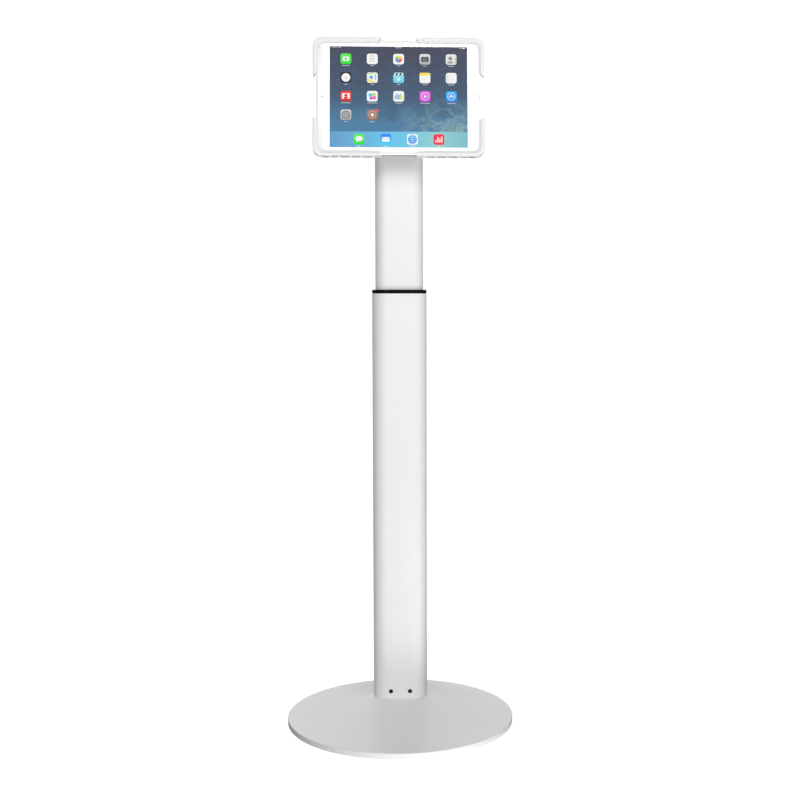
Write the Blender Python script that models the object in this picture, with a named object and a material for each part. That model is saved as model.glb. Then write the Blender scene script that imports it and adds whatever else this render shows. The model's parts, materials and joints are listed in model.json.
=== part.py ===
# Tablet floor stand: a weighted round base, a telescoping flat-oval column, and a tilting,
# turning case that grips a tablet by its four corners. Metres, +Z up, screen facing -Y,
# origin on the floor under the column's axis.
import math

import bmesh
import bpy
from mathutils import Matrix, Vector

GAP = 0.0003                    # clearance kept between neighbouring solids
STEPS = 8                       # segments in a quarter turn of a large round edge
SCREW_SIDES = 8
HEXAGON_POINTS = 24

# Base
FOOT_LIFT = 0.002               # rubber feet hold the rim this far off the floor
BASE_RADIUS = 0.17006
RIM_HEIGHT = 0.00835
RIM_ROUND = 0.0012
LAND_TOP = FOOT_LIFT + 0.03685  # flat land that the column stands on
LAND_MARGIN = 0.0015            # land beyond the column all round
LAND_CORNERS = 2.2              # how sharply the land's straight sides turn into its round ends
FLARE = 1.4                     # 1 is a straight cone, more is a hollow flare
SHEET = 0.002
COVER_SIDES = 48
WEIGHT_RADIUS = 0.166
WEIGHT_BOTTOM = 0.0029
WEIGHT_TOP = 0.0081
FOOT_RING_OUTER = 0.158
FOOT_RING_INNER = 0.140
BOLT_RADIUS = 0.0039
BOLT_HEAD_RADIUS = 0.007
BOLT_X = 0.022
BOLT_Y = 0.010
BOLT_TOP = 0.095
CABLE_BORE = 0.0055

# Column
OUTER_WIDTH = 0.08074
OUTER_DEPTH = 0.04224
OUTER_WALL = 0.0025
OUTER_TOP = FOOT_LIFT + 0.6454
INNER_WIDTH = 0.07062
INNER_DEPTH = 0.03212
INNER_WALL = 0.002
INNER_BOTTOM = 0.345
INNER_TOP = 0.897
SOCKET_TOP = 0.105
COLLAR_TOP = FOOT_LIFT + 0.6509
SLEEVE_BOTTOM = 0.600
SCREW_HEIGHT = FOOT_LIFT + 0.0485
SCREW_X = 0.01425
SCREW_HEAD_RADIUS = 0.0029
OUTLET_HEIGHT = 0.124
OUTLET_RADIUS = 0.0093
LOCK_HEIGHT = 0.628
PAD_RADIUS = 0.005
KNOB_RADIUS = 0.018
KNOB_FLUTES = 8
KNOB_FLUTE_DEPTH = 0.07         # as a share of the radius
KNOB_SIDES = 5 * KNOB_FLUTES

# Tilt joint and head, in the head's own frame: origin on the tilt axis, X right,
# Y into the back of the case, Z up along the screen.
TILT_BACK = math.radians(9.37)
SCREEN_HEIGHT = FOOT_LIFT + 0.9252
SCREEN_FORWARD = 0.045
PIVOT_TO_GLASS = SCREEN_FORWARD / math.cos(TILT_BACK)
PIVOT_HEIGHT = SCREEN_HEIGHT - PIVOT_TO_GLASS * math.sin(TILT_BACK)
NECK_HALF_WIDTH = 0.012
NECK_ROUND = 0.010
NECK_SCREW_X = 0.020
EAR_INNER = 0.015
EAR_OUTER = 0.021
EAR_ROUND = 0.012
PIN_RADIUS = 0.0039

# Tablet, case and clips: depths are measured back from the front of the glass
TABLET_WIDTH = 0.240
TABLET_HEIGHT = 0.1695
TABLET_CORNER = 0.011
CASE_WIDTH = 0.2448
CASE_HEIGHT = 0.1732
CASE_CORNER = 0.0125
LIP_WIDTH = 0.0072
ARM_END_X = 0.025
ARM_END_Z = 0.031
FLANGE_FRONT = 0.0078
FLANGE_BACK = 0.0094
FLANGE_WIDTH = 0.017
BACK_FRONT = 0.0097
BACK_BACK = 0.0122
BUTTON_TRAVEL = 0.0003


# ---------------------------------------------------------------- building helpers
def outline_stadium(width, depth, steps=STEPS):
    """Flat oval: straight front and back faces joined by half circles."""
    radius = depth / 2
    centre = width / 2 - radius
    points = []
    for side in (1, -1):
        for step in range(2 * steps + 1):
            angle = math.pi * (step / (2 * steps) - 0.5)
            points.append((side * (centre + radius * math.cos(angle)), side * radius * math.sin(angle)))
    return points


def outline_box(half_x, half_y, radius, steps=4):
    """Rectangle with round corners, counter-clockwise from its lower right corner."""
    points = []
    for corner, (sx, sy) in enumerate(((1, -1), (1, 1), (-1, 1), (-1, -1))):
        for step in range(steps + 1):
            angle = math.radians(90) * (corner - 1 + step / steps)
            x = sx * (half_x - radius) + radius * math.cos(angle)
            y = sy * (half_y - radius) + radius * math.sin(angle)
            points.append((x, y))
    return points


def outline_circle(radius, sides, cx=0.0, cy=0.0):
    angles = [2 * math.pi * i / sides for i in range(sides)]
    return [(cx + radius * math.cos(a), cy + radius * math.sin(a)) for a in angles]


def outline_hexagon(half_across):
    """Hexagon by its half width across flats, with extra points along each flat."""
    points = []
    for i in range(HEXAGON_POINTS):
        angle = 2 * math.pi * i / HEXAGON_POINTS
        within = (angle % math.radians(60)) - math.radians(30)
        size = half_across / math.cos(within)
        points.append((size * math.cos(angle), size * math.sin(angle)))
    return points


def level(outline, height):
    """Outline in X and Y at a height."""
    return [(x, y, height) for x, y in outline]


def upright(outline, depth):
    """Outline in X and Z at a depth along Y."""
    return [(x, depth, z) for x, z in outline]


def add_loft(bm, rings, closed=False):
    """Skin a stack of equal rings; the ends are capped, or joined when closed."""
    rows = [[bm.verts.new(point) for point in ring] for ring in rings]
    count = len(rows[0])
    pairs = list(zip(rows, rows[1:]))
    if closed:
        pairs.append((rows[-1], rows[0]))
    for low, high in pairs:
        for i in range(count):
            j = (i + 1) % count
            bm.faces.new((low[i], low[j], high[j], high[i]))
    if not closed:
        bm.faces.new(rows[0])
        bm.faces.new(rows[-1])


def add_rod(bm, radius, start, end, sides=SCREW_SIDES, end_radius=None):
    """Straight round bar, or a cone, between two points."""
    start = Vector(start)
    end = Vector(end)
    turn = (end - start).to_track_quat("Z", "Y").to_matrix()
    far = radius if end_radius is None else end_radius
    rings = []
    for centre, size in ((start, radius), (end, far)):
        rings.append([centre + turn @ Vector((x, y, 0)) for x, y in outline_circle(size, sides)])
    add_loft(bm, rings)


def add_turned(bm, profile, centre, sides, axis="Z"):
    """Turn a closed (radius, height) profile into a ring about Z or Y through a point."""
    rings = []
    for radius, height in profile:
        ring = []
        for x, y in outline_circle(radius, sides):
            local = Vector((x, y, height)) if axis == "Z" else Vector((x, height, y))
            ring.append(Vector(centre) + local)
        rings.append(ring)
    add_loft(bm, rings, closed=True)


def add_strip(bm, lines):
    """Skin a section carried along a path: one open line for each corner of the section, ends capped."""
    rows = [[bm.verts.new(point) for point in line] for line in lines]
    for low, high in zip(rows, rows[1:] + rows[:1]):
        for i in range(len(low) - 1):
            bm.faces.new((low[i], low[i + 1], high[i + 1], high[i]))
    ends = [bm.faces.new([row[0] for row in rows]), bm.faces.new([row[-1] for row in rows])]
    bmesh.ops.triangulate(bm, faces=ends)


def add_block(bm, low, high):
    (x0, y0, z0), (x1, y1, z1) = low, high
    add_loft(bm, [[(x0, y0, z), (x1, y0, z), (x1, y1, z), (x0, y1, z)] for z in (z0, z1)])


def make_mesh(name, build):
    mesh = bpy.data.meshes.new(name)
    bm = bmesh.new()
    build(bm)
    bmesh.ops.recalc_face_normals(bm, faces=bm.faces)
    if bm.calc_volume(signed=True) < 0:
        bmesh.ops.reverse_faces(bm, faces=bm.faces)
    bm.to_mesh(mesh)
    bm.free()
    return mesh


def make_material(name, color, roughness, metallic):
    material = bpy.data.materials.new(name)
    material.use_nodes = True
    shader = material.node_tree.nodes["Principled BSDF"]
    shader.inputs["Base Color"].default_value = (*color, 1.0)
    shader.inputs["Roughness"].default_value = roughness
    shader.inputs["Metallic"].default_value = metallic
    return material


def apply_guide(piece, build, name, operation):
    """Add a second closed shape to a piece, or take it away; the shape stays as a hidden guide."""
    guide = bpy.data.objects.new(name, make_mesh(name, build))
    bpy.context.scene.collection.objects.link(guide)
    guide.location = piece.location
    guide.parent = piece.parent
    guide.hide_render = True
    guide.display_type = "WIRE"
    change = piece.modifiers.new(operation.lower(), "BOOLEAN")
    change.operation = operation
    change.solver = "EXACT"
    change.object = guide


def make_piece(name, look, build, parent=None, location=(0, 0, 0), cutter=None):
    """One sub-part: its mesh, material, smooth shading, place and optional cut."""
    mesh = make_mesh(name, build)
    piece = bpy.data.objects.new(name, mesh)
    bpy.context.scene.collection.objects.link(piece)
    piece.location = location
    piece.parent = parent
    mesh.materials.append(make_material(name, *look))
    mesh.shade_smooth()
    mesh.set_sharp_from_angle(angle=math.radians(30))
    if cutter is not None:
        apply_guide(piece, cutter, name + "_cutter", "DIFFERENCE")
    return piece


def make_empty(name, location, tilt=0.0, parent=None):
    empty = bpy.data.objects.new(name, None)
    bpy.context.scene.collection.objects.link(empty)
    empty.location = location
    empty.rotation_euler = (tilt, 0, 0)
    empty.parent = parent
    return empty


WHITE_PAINT = ((0.86, 0.86, 0.86), 0.35, 0.0)
WHITE_PLASTIC = ((0.88, 0.88, 0.88), 0.4, 0.0)
BLACK_PLASTIC = ((0.012, 0.012, 0.013), 0.45, 0.0)
BLACK_RUBBER = ((0.015, 0.015, 0.015), 0.8, 0.0)
STEEL = ((0.45, 0.45, 0.46), 0.35, 1.0)
BLACK_STEEL = ((0.02, 0.02, 0.02), 0.4, 0.6)
SILVER = ((0.72, 0.73, 0.74), 0.35, 1.0)
GLASS_WHITE = ((0.9, 0.9, 0.9), 0.08, 0.0)
SCREEN = ((0.08, 0.16, 0.24), 0.1, 0.0)
GREEN_BOARD = ((0.02, 0.12, 0.06), 0.5, 0.0)
BATTERY_GREY = ((0.25, 0.25, 0.27), 0.5, 0.2)


# ---------------------------------------------------------------- base
def cover_ring(share, height, inset=0.0):
    """Ring of the cover: its flat-oval land at share 0 blends into the round rim at share 1."""
    land_depth = OUTER_DEPTH / 2 + LAND_MARGIN
    land_reach = (OUTER_WIDTH - OUTER_DEPTH) / 2
    ring = []
    for i in range(COVER_SIDES):
        angle = 2 * math.pi * i / COVER_SIDES
        across = max(-1.0, min(1.0, LAND_CORNERS * math.cos(angle)))
        land_x = land_depth * math.cos(angle) + land_reach * across
        land_y = land_depth * math.sin(angle)
        rim = BASE_RADIUS - inset
        x = (1 - share) * land_x + share * rim * math.cos(angle)
        y = (1 - share) * land_y + share * rim * math.sin(angle)
        ring.append((x, y, height))
    return ring


def cover_height(share):
    rim_top = FOOT_LIFT + RIM_HEIGHT
    return rim_top + (LAND_TOP - rim_top) * (1 - share) ** FLARE


def build_base_cover(bm):
    shares = (0.0, 0.08, 0.2, 0.38, 0.64)
    edge = 1 - RIM_ROUND / BASE_RADIUS
    rings = [cover_ring(s, cover_height(s)) for s in shares]
    rings.append(cover_ring(edge, cover_height(edge)))
    rings.append(cover_ring(1, FOOT_LIFT + RIM_HEIGHT - RIM_ROUND))
    rings.append(cover_ring(1, FOOT_LIFT))
    rings.append(cover_ring(1, FOOT_LIFT, inset=SHEET))
    rings.append(cover_ring(1, FOOT_LIFT + RIM_HEIGHT - SHEET, inset=SHEET))
    rings += [cover_ring(s, cover_height(s) - SHEET) for s in reversed(shares)]
    add_loft(bm, rings)


def bolt_places():
    return [(sx * BOLT_X, sy * BOLT_Y) for sx in (-1, 1) for sy in (-1, 1)]


def cut_bolt_holes(bm, low, high):
    for x, y in bolt_places():
        add_rod(bm, BOLT_RADIUS + GAP, (x, y, low), (x, y, high))
    add_rod(bm, CABLE_BORE, (0, 0, low), (0, 0, high), 16)


def build_foot_ring(bm):
    top = WEIGHT_BOTTOM - GAP
    profile = [(FOOT_RING_INNER, 0.0005), (FOOT_RING_INNER, top), (FOOT_RING_OUTER, top),
               (FOOT_RING_OUTER, 0.0005), (FOOT_RING_OUTER - 0.0005, 0.0), (FOOT_RING_INNER + 0.0005, 0.0)]
    add_turned(bm, profile, (0, 0, 0), 48)


def build_base_bolt(bm):
    """Low-headed bolt about its own axis, head down."""
    head_top = WEIGHT_BOTTOM - GAP
    places = ((BOLT_HEAD_RADIUS - 0.001, 0.0004), (BOLT_HEAD_RADIUS, 0.0014), (BOLT_HEAD_RADIUS, head_top),
              (BOLT_RADIUS, head_top), (BOLT_RADIUS, BOLT_TOP))
    add_loft(bm, [level(outline_circle(radius, SCREW_SIDES), z) for radius, z in places])


def build_base_riser(bm):
    flange = WEIGHT_TOP + GAP
    top = LAND_TOP - SHEET - GAP
    wide = outline_stadium(0.088, 0.056)
    post = outline_stadium(0.070, 0.034)
    seat = flange + 0.004
    add_loft(bm, [level(wide, flange), level(wide, seat), level(post, seat), level(post, top)])


def make_base(parent):
    make_piece("base_cover", WHITE_PAINT, build_base_cover, parent,
               cutter=lambda bm: cut_bolt_holes(bm, LAND_TOP - 0.004, LAND_TOP + 0.002))

    def build_weight(bm):
        disc = outline_circle(WEIGHT_RADIUS, 64)
        add_loft(bm, [level(disc, WEIGHT_BOTTOM), level(disc, WEIGHT_TOP)])
    make_piece("base_weight", BLACK_STEEL, build_weight, parent,
               cutter=lambda bm: cut_bolt_holes(bm, 0.0, WEIGHT_TOP + 0.002))
    make_piece("base_riser", STEEL, build_base_riser, parent,
               cutter=lambda bm: cut_bolt_holes(bm, 0.0, LAND_TOP))
    make_piece("rubber_foot_ring", BLACK_RUBBER, build_foot_ring, parent)
    for number, (x, y) in enumerate(bolt_places(), 1):
        make_piece(f"base_bolt_{number}", STEEL, build_base_bolt, parent, location=(x, y, 0))


# ---------------------------------------------------------------- column
def add_tube(bm, outer, inner, low, high):
    add_loft(bm, [level(outer, low), level(outer, high), level(inner, high), level(inner, low)], closed=True)


def socket_outline():
    slack = 2 * (OUTER_WALL + GAP)
    return outline_stadium(OUTER_WIDTH - slack, OUTER_DEPTH - slack)


def running_outline():
    """Clear opening round the inner column."""
    return outline_stadium(INNER_WIDTH + 2 * GAP, INNER_DEPTH + 2 * GAP)


def bore_outline():
    """Plug that fits inside the inner column."""
    slack = 2 * (INNER_WALL + GAP)
    return outline_stadium(INNER_WIDTH - slack, INNER_DEPTH - slack)


def build_outer_column(bm):
    outer = outline_stadium(OUTER_WIDTH, OUTER_DEPTH)
    inner = outline_stadium(OUTER_WIDTH - 2 * OUTER_WALL, OUTER_DEPTH - 2 * OUTER_WALL)
    add_tube(bm, outer, inner, LAND_TOP + GAP, OUTER_TOP)


def cut_outer_column(bm):
    front = -OUTER_DEPTH / 2
    back = OUTER_DEPTH / 2
    for x in (-SCREW_X, SCREW_X):
        start = (x, front - 0.001, SCREW_HEIGHT)
        add_rod(bm, SCREW_HEAD_RADIUS + GAP, start, (x, front + 0.004, SCREW_HEIGHT), 16)
    add_rod(bm, OUTLET_RADIUS + GAP, (0, back - 0.004, OUTLET_HEIGHT), (0, back + 0.001, OUTLET_HEIGHT), 24)
    add_rod(bm, PAD_RADIUS + GAP, (0, back - 0.004, LOCK_HEIGHT), (0, back + 0.001, LOCK_HEIGHT), 16)


def build_socket(bm):
    add_loft(bm, [level(socket_outline(), LAND_TOP + GAP), level(socket_outline(), SOCKET_TOP)])


def cut_socket(bm):
    cut_bolt_holes(bm, LAND_TOP - 0.002, SOCKET_TOP + 0.002)
    front = -OUTER_DEPTH / 2
    for x in (-SCREW_X, SCREW_X):
        add_rod(bm, 0.0022, (x, front, SCREW_HEIGHT), (x, front + 0.0095, SCREW_HEIGHT))


def build_column_screw(bm):
    """Small button-headed screw about its own axis along Y, head to the front."""
    front = -OUTER_DEPTH / 2
    places = ((SCREW_HEAD_RADIUS - 0.0005, front + 0.0001), (SCREW_HEAD_RADIUS, front + 0.0005),
              (SCREW_HEAD_RADIUS, front + OUTER_WALL - GAP), (0.0019, front + OUTER_WALL - GAP),
              (0.0019, front + 0.009))
    add_loft(bm, [upright(outline_circle(r, SCREW_SIDES), y) for r, y in places])


def build_collar(bm):
    lip_low = OUTER_TOP + GAP
    rings = [level(running_outline(), SLEEVE_BOTTOM), level(socket_outline(), SLEEVE_BOTTOM),
             level(socket_outline(), lip_low), level(outline_stadium(OUTER_WIDTH, OUTER_DEPTH), lip_low),
             level(outline_stadium(OUTER_WIDTH, OUTER_DEPTH), COLLAR_TOP - 0.001),
             level(outline_stadium(OUTER_WIDTH - 0.002, OUTER_DEPTH - 0.002), COLLAR_TOP),
             level(running_outline(), COLLAR_TOP)]
    add_loft(bm, rings, closed=True)


def build_grommet(bm):
    back = OUTER_DEPTH / 2
    inside = back - OUTER_WALL - GAP
    profile = [(0.006, inside - 0.0015), (0.006, back + 0.0022), (0.0112, back + 0.0022),
               (0.012, back + 0.0012), (0.012, back + GAP), (OUTLET_RADIUS, back + GAP),
               (OUTLET_RADIUS, inside), (0.0115, inside), (0.0115, inside - 0.0015)]
    add_turned(bm, profile, (0, 0, OUTLET_HEIGHT), 24, axis="Y")


def build_lock_boss(bm):
    back = OUTER_DEPTH / 2 + GAP
    profile = [(0.0042, back), (0.0042, back + 0.010), (0.0085, back + 0.010), (0.0095, back + 0.009),
               (0.0095, back + 0.0025), (0.014, back + 0.0025), (0.014, back)]
    add_turned(bm, profile, (0, 0, LOCK_HEIGHT), 24, axis="Y")


def make_column(parent):
    make_piece("column_socket", STEEL, build_socket, parent, cutter=cut_socket)
    make_piece("outer_column", WHITE_PAINT, build_outer_column, parent, cutter=cut_outer_column)
    for side, x in (("left", -SCREW_X), ("right", SCREW_X)):
        make_piece(f"column_screw_{side}", BLACK_STEEL, build_column_screw, parent,
                   location=(x, 0, SCREW_HEIGHT))

    def cut_collar(bm):
        back = OUTER_DEPTH / 2
        add_rod(bm, PAD_RADIUS + GAP, (0, back - 0.007, LOCK_HEIGHT), (0, back, LOCK_HEIGHT), 16)
    make_piece("collar_bushing", BLACK_PLASTIC, build_collar, parent, cutter=cut_collar)
    make_piece("cable_grommet", BLACK_RUBBER, build_grommet, parent)
    make_piece("lock_boss", SILVER, build_lock_boss, parent)


# ---------------------------------------------------------------- height lock
def build_lock_knob(bm):
    """Fluted knob with its screw, about its own axis along Y, tip first."""
    def fluted(radius, depth):
        ring = []
        for i in range(KNOB_SIDES):
            angle = 2 * math.pi * i / KNOB_SIDES
            size = radius * (1 + KNOB_FLUTE_DEPTH * math.cos(KNOB_FLUTES * angle))
            ring.append((size * math.cos(angle), depth, size * math.sin(angle)))
        return ring

    def plain(radius, depth):
        return upright(outline_circle(radius, KNOB_SIDES), depth)

    tip = OUTER_DEPTH / 2 - 0.0014
    shoulder = OUTER_DEPTH / 2 + 0.0115
    rings = [plain(0.0037, tip), plain(0.0037, shoulder),
             plain(0.010, shoulder), plain(0.010, shoulder + 0.003),
             fluted(KNOB_RADIUS - 0.002, shoulder + 0.003), fluted(KNOB_RADIUS, shoulder + 0.005),
             fluted(KNOB_RADIUS, shoulder + 0.015), fluted(KNOB_RADIUS - 0.003, shoulder + 0.018)]
    add_loft(bm, rings)


def build_lock_pad(bm):
    front = INNER_DEPTH / 2 + GAP
    add_rod(bm, PAD_RADIUS, (0, front, 0), (0, front + 0.0019, 0), 16)


def make_lock(parent):
    axis = (0, 0, LOCK_HEIGHT)
    make_piece("lock_knob", BLACK_PLASTIC, build_lock_knob, parent, location=axis)
    make_piece("lock_pad", ((0.55, 0.42, 0.18), 0.4, 1.0), build_lock_pad, parent, location=axis)


# ---------------------------------------------------------------- mast
def build_inner_column(bm):
    outer = outline_stadium(INNER_WIDTH, INNER_DEPTH)
    inner = outline_stadium(INNER_WIDTH - 2 * INNER_WALL, INNER_DEPTH - 2 * INNER_WALL)
    add_tube(bm, outer, inner, INNER_BOTTOM, INNER_TOP)


def build_guide_shoe(bm):
    low = INNER_BOTTOM - 0.015
    seat = INNER_BOTTOM - GAP
    hole = outline_stadium(0.050, 0.016)
    rings = [level(hole, low), level(socket_outline(), low), level(socket_outline(), seat),
             level(bore_outline(), seat), level(bore_outline(), INNER_BOTTOM + 0.022),
             level(hole, INNER_BOTTOM + 0.022)]
    add_loft(bm, rings, closed=True)


def neck_screw_places():
    return [(-NECK_SCREW_X, 0.0), (NECK_SCREW_X, 0.0)]


def build_mast_cap(bm):
    lip = outline_stadium(INNER_WIDTH, INNER_DEPTH)
    top = outline_stadium(INNER_WIDTH - 0.002, INNER_DEPTH - 0.002)
    seat = INNER_TOP + GAP
    rings = [level(bore_outline(), INNER_TOP - 0.018), level(bore_outline(), seat), level(lip, seat),
             level(lip, seat + 0.003), level(top, seat + 0.004)]
    add_loft(bm, rings)


def cut_mast_cap(bm):
    for x, y in neck_screw_places():
        add_rod(bm, 0.0027, (x, y, INNER_TOP - 0.02), (x, y, INNER_TOP + 0.01))
    add_rod(bm, CABLE_BORE, (-0.0295, 0, INNER_TOP - 0.02), (-0.0295, 0, INNER_TOP + 0.01), 16)


def neck_foot():
    return INNER_TOP + 0.0043 + GAP


def build_neck(bm):
    """Flange that the neck stands on."""
    foot = neck_foot()
    seat = foot + 0.004
    slab = outline_box(0.0265, 0.0130, 0.004, 3)
    add_loft(bm, [level(slab, foot), level(slab, seat)])


def build_neck_stem(bm):
    """Upright stem with a round eye on the tilt axis."""
    seat = neck_foot() + 0.0035
    profile = [(-NECK_ROUND, seat), (NECK_ROUND, seat)]
    for step in range(13):
        angle = math.pi * step / 12
        profile.append((NECK_ROUND * math.cos(angle), PIVOT_HEIGHT + NECK_ROUND * math.sin(angle)))
    rings = [[(x, y, z) for y, z in profile] for x in (-NECK_HALF_WIDTH, NECK_HALF_WIDTH)]
    add_loft(bm, rings)


def cut_neck(bm):
    foot = neck_foot()
    for x, y in neck_screw_places():
        seat = foot + 0.0012
        places = ((0.0027, foot - 0.001), (0.0027, seat), (0.0047, seat), (0.0047, foot + 0.006))
        add_loft(bm, [level(outline_circle(r, SCREW_SIDES, x, y), z) for r, z in places])
    add_rod(bm, PIN_RADIUS + GAP, (-0.02, 0, PIVOT_HEIGHT), (0.02, 0, PIVOT_HEIGHT), 20)


def build_neck_screw(bm):
    """Countersunk screw about its own vertical axis."""
    foot = neck_foot()
    places = ((0.0024, INNER_TOP - 0.010), (0.0024, foot + 0.0015), (0.0044, foot + 0.0015),
              (0.0044, foot + 0.0036), (0.0038, foot + 0.0039))
    add_loft(bm, [level(outline_circle(r, SCREW_SIDES), z) for r, z in places])


def add_ring_x(bm, outer, inner, low, high, sides=24):
    """Washer about the X axis."""
    rings = []
    for radius, x in ((inner, low), (outer, low), (outer, high), (inner, high)):
        rings.append([(x, y, z) for y, z in outline_circle(radius, sides)])
    add_loft(bm, rings, closed=True)


def friction_disc(low):
    def build(bm):
        thick = EAR_INNER - NECK_HALF_WIDTH - 2 * GAP
        add_ring_x(bm, 0.0098, PIN_RADIUS + GAP, low, low + thick)
    return build


def build_tilt_bolt(bm):
    head = -(EAR_OUTER + GAP)
    places = ((0.0055, head - 0.0042), (0.0068, head - 0.003), (0.0068, head), (PIN_RADIUS, head),
              (PIN_RADIUS, EAR_OUTER + 0.0068))
    add_loft(bm, [[(x, y, z) for y, z in outline_circle(r, 20)] for r, x in places])


def build_tilt_nut(bm):
    low = EAR_OUTER + GAP
    high = low + 0.0055
    bore = outline_circle(PIN_RADIUS + GAP, HEXAGON_POINTS)
    hexagon = outline_hexagon(0.0065)
    places = ((bore, low), (hexagon, low), (hexagon, high), (bore, high))
    rings = [[(x, y, z) for y, z in ring] for ring, x in places]
    add_loft(bm, rings, closed=True)


def make_mast(parent):
    make_piece("inner_column", WHITE_PAINT, build_inner_column, parent)
    make_piece("guide_shoe", BLACK_PLASTIC, build_guide_shoe, parent)
    make_piece("mast_cap", BLACK_PLASTIC, build_mast_cap, parent, cutter=cut_mast_cap)
    neck = make_piece("tilt_neck", WHITE_PAINT, build_neck, parent)
    apply_guide(neck, build_neck_stem, "tilt_neck_stem", "UNION")
    apply_guide(neck, cut_neck, "tilt_neck_cutter", "DIFFERENCE")
    pivot = (0, 0, PIVOT_HEIGHT)
    for side, (x, y) in zip(("left", "right"), neck_screw_places()):
        make_piece(f"neck_screw_{side}", BLACK_STEEL, build_neck_screw, parent, location=(x, y, 0))
    for side, low in (("left", GAP - EAR_INNER), ("right", NECK_HALF_WIDTH + GAP)):
        make_piece(f"tilt_disc_{side}", BLACK_PLASTIC, friction_disc(low), parent, location=pivot)
    make_piece("tilt_bolt", BLACK_STEEL, build_tilt_bolt, parent, location=pivot)
    make_piece("tilt_nut", BLACK_STEEL, build_tilt_nut, parent, location=pivot)


# ---------------------------------------------------------------- tilt head
PLATE_RADIUS = 0.036
PLATE_FRONT = -0.0275
PLATE_BACK = -0.0235
SPINDLE_RADIUS = 0.008
STOP_CIRCLE = 0.0285
STOP_RADIUS = 0.0018


def build_turn_plate(bm):
    disc = outline_circle(PLATE_RADIUS, 32)
    rim = outline_circle(PLATE_RADIUS - 0.0008, 32)
    rings = [upright(rim, PLATE_FRONT), upright(disc, PLATE_FRONT + 0.0008),
             upright(disc, PLATE_BACK - 0.0008), upright(rim, PLATE_BACK)]
    add_loft(bm, rings)


def build_ears(bm):
    """Two ears that reach back from the plate to the tilt axis, round about it."""
    profile = [(PLATE_BACK - 0.001, -EAR_ROUND), (0.0, -EAR_ROUND)]
    for step in range(1, 12):
        angle = math.pi * (step / 12 - 0.5)
        profile.append((EAR_ROUND * math.cos(angle), EAR_ROUND * math.sin(angle)))
    profile += [(0.0, EAR_ROUND), (PLATE_BACK - 0.001, EAR_ROUND)]
    for side in (-1, 1):
        rings = [[(side * x, y, z) for y, z in profile] for x in (EAR_INNER, EAR_OUTER)]
        add_loft(bm, rings)


def build_stop_slot(bm):
    """Half-turn slot that the stop pin runs in."""
    wide = STOP_RADIUS + GAP
    start = math.radians(-6)
    steps = 14
    front = PLATE_FRONT - 0.001
    back = PLATE_BACK + 0.001
    rings = []
    for i in range(steps + 1):
        angle = start + (math.pi - 2 * start) * i / steps
        corners = ((STOP_CIRCLE - wide, front), (STOP_CIRCLE + wide, front),
                   (STOP_CIRCLE + wide, back), (STOP_CIRCLE - wide, back))
        rings.append([(radius * math.cos(angle), y, radius * math.sin(angle)) for radius, y in corners])
    add_loft(bm, rings)
    add_rod(bm, SPINDLE_RADIUS + GAP, (0, front, 0), (0, back, 0), 24)


def build_pin_holes(bm):
    add_rod(bm, PIN_RADIUS + GAP, (-0.03, 0, 0), (0.03, 0, 0), 20)


def make_tilt_head(parent):
    plate = make_piece("turn_plate", WHITE_PAINT, build_turn_plate, parent, cutter=build_stop_slot)
    apply_guide(plate, build_ears, "turn_plate_ears", "UNION")
    apply_guide(plate, build_pin_holes, "turn_plate_pin_cutter", "DIFFERENCE")

    def build_friction_ring(bm):
        low = PLATE_FRONT - GAP - 0.001
        high = PLATE_FRONT - GAP
        profile = [(SPINDLE_RADIUS + GAP, low), (SPINDLE_RADIUS + GAP, high), (0.0225, high), (0.0225, low)]
        add_turned(bm, profile, (0, 0, 0), 32, axis="Y")
    make_piece("turn_friction_ring", BLACK_PLASTIC, build_friction_ring, parent)


# ---------------------------------------------------------------- case
GLASS_FRONT = -PIVOT_TO_GLASS
HUB_BACK = PLATE_FRONT - 2 * GAP - 0.001
HUB_SCREW_CIRCLE = 0.031
HUB_SCREW_HOLE = 0.0021
CLIP_SCREW_HOLE = 0.0017
VENT_ROWS = range(-2, 3)        # rows of slots in the case back, counted from its middle
VENT_ROW_STEP = 0.016
VENT_SIDE = 0.068
CASE_BACK_FRONT = GLASS_FRONT + BACK_FRONT
CASE_BACK_BACK = GLASS_FRONT + BACK_BACK
VENT_STARTS = (0.0392, 0.0548, 0.0706, 0.0871, 0.0994)
VENT_ENDS = (0.0520, 0.0677, 0.0836, 0.0966, 0.1092)
CORNERS = {"top_left": (-1, 1), "top_right": (1, 1), "bottom_left": (-1, -1), "bottom_right": (1, -1)}
SIDE_VENTS = ((0.0355, 0.0480), (0.0505, 0.0630), (0.0655, 0.0725))


def build_hub(bm):
    """Round flange screwed to the case, with the hollow spindle that the case turns on."""
    front = CASE_BACK_BACK + GAP
    spindle_end = PLATE_BACK + 0.0062
    bore = 0.004
    profile = [(bore, front), (bore, spindle_end), (SPINDLE_RADIUS - 0.0005, spindle_end),
               (SPINDLE_RADIUS, spindle_end - 0.0005), (SPINDLE_RADIUS, HUB_BACK),
               (PLATE_RADIUS - 0.0008, HUB_BACK), (PLATE_RADIUS, HUB_BACK - 0.0008), (PLATE_RADIUS, front)]
    add_turned(bm, profile, (0, 0, 0), 32, axis="Y")


def hub_screw_places():
    angles = [math.radians(45 + 90 * i) for i in range(4)]
    return [(HUB_SCREW_CIRCLE * math.cos(a), HUB_SCREW_CIRCLE * math.sin(a)) for a in angles]


def cut_hub(bm):
    front = CASE_BACK_BACK
    for x, z in hub_screw_places():
        add_rod(bm, HUB_SCREW_HOLE, (x, front - 0.001, z), (x, front + 0.003, z))
    add_rod(bm, STOP_RADIUS + GAP, (0, HUB_BACK + 0.001, STOP_CIRCLE), (0, HUB_BACK - 0.002, STOP_CIRCLE))


def build_stop_pin(bm):
    add_rod(bm, STOP_RADIUS, (0, HUB_BACK - 0.0017, STOP_CIRCLE), (0, PLATE_BACK - 0.0006, STOP_CIRCLE))


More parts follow.
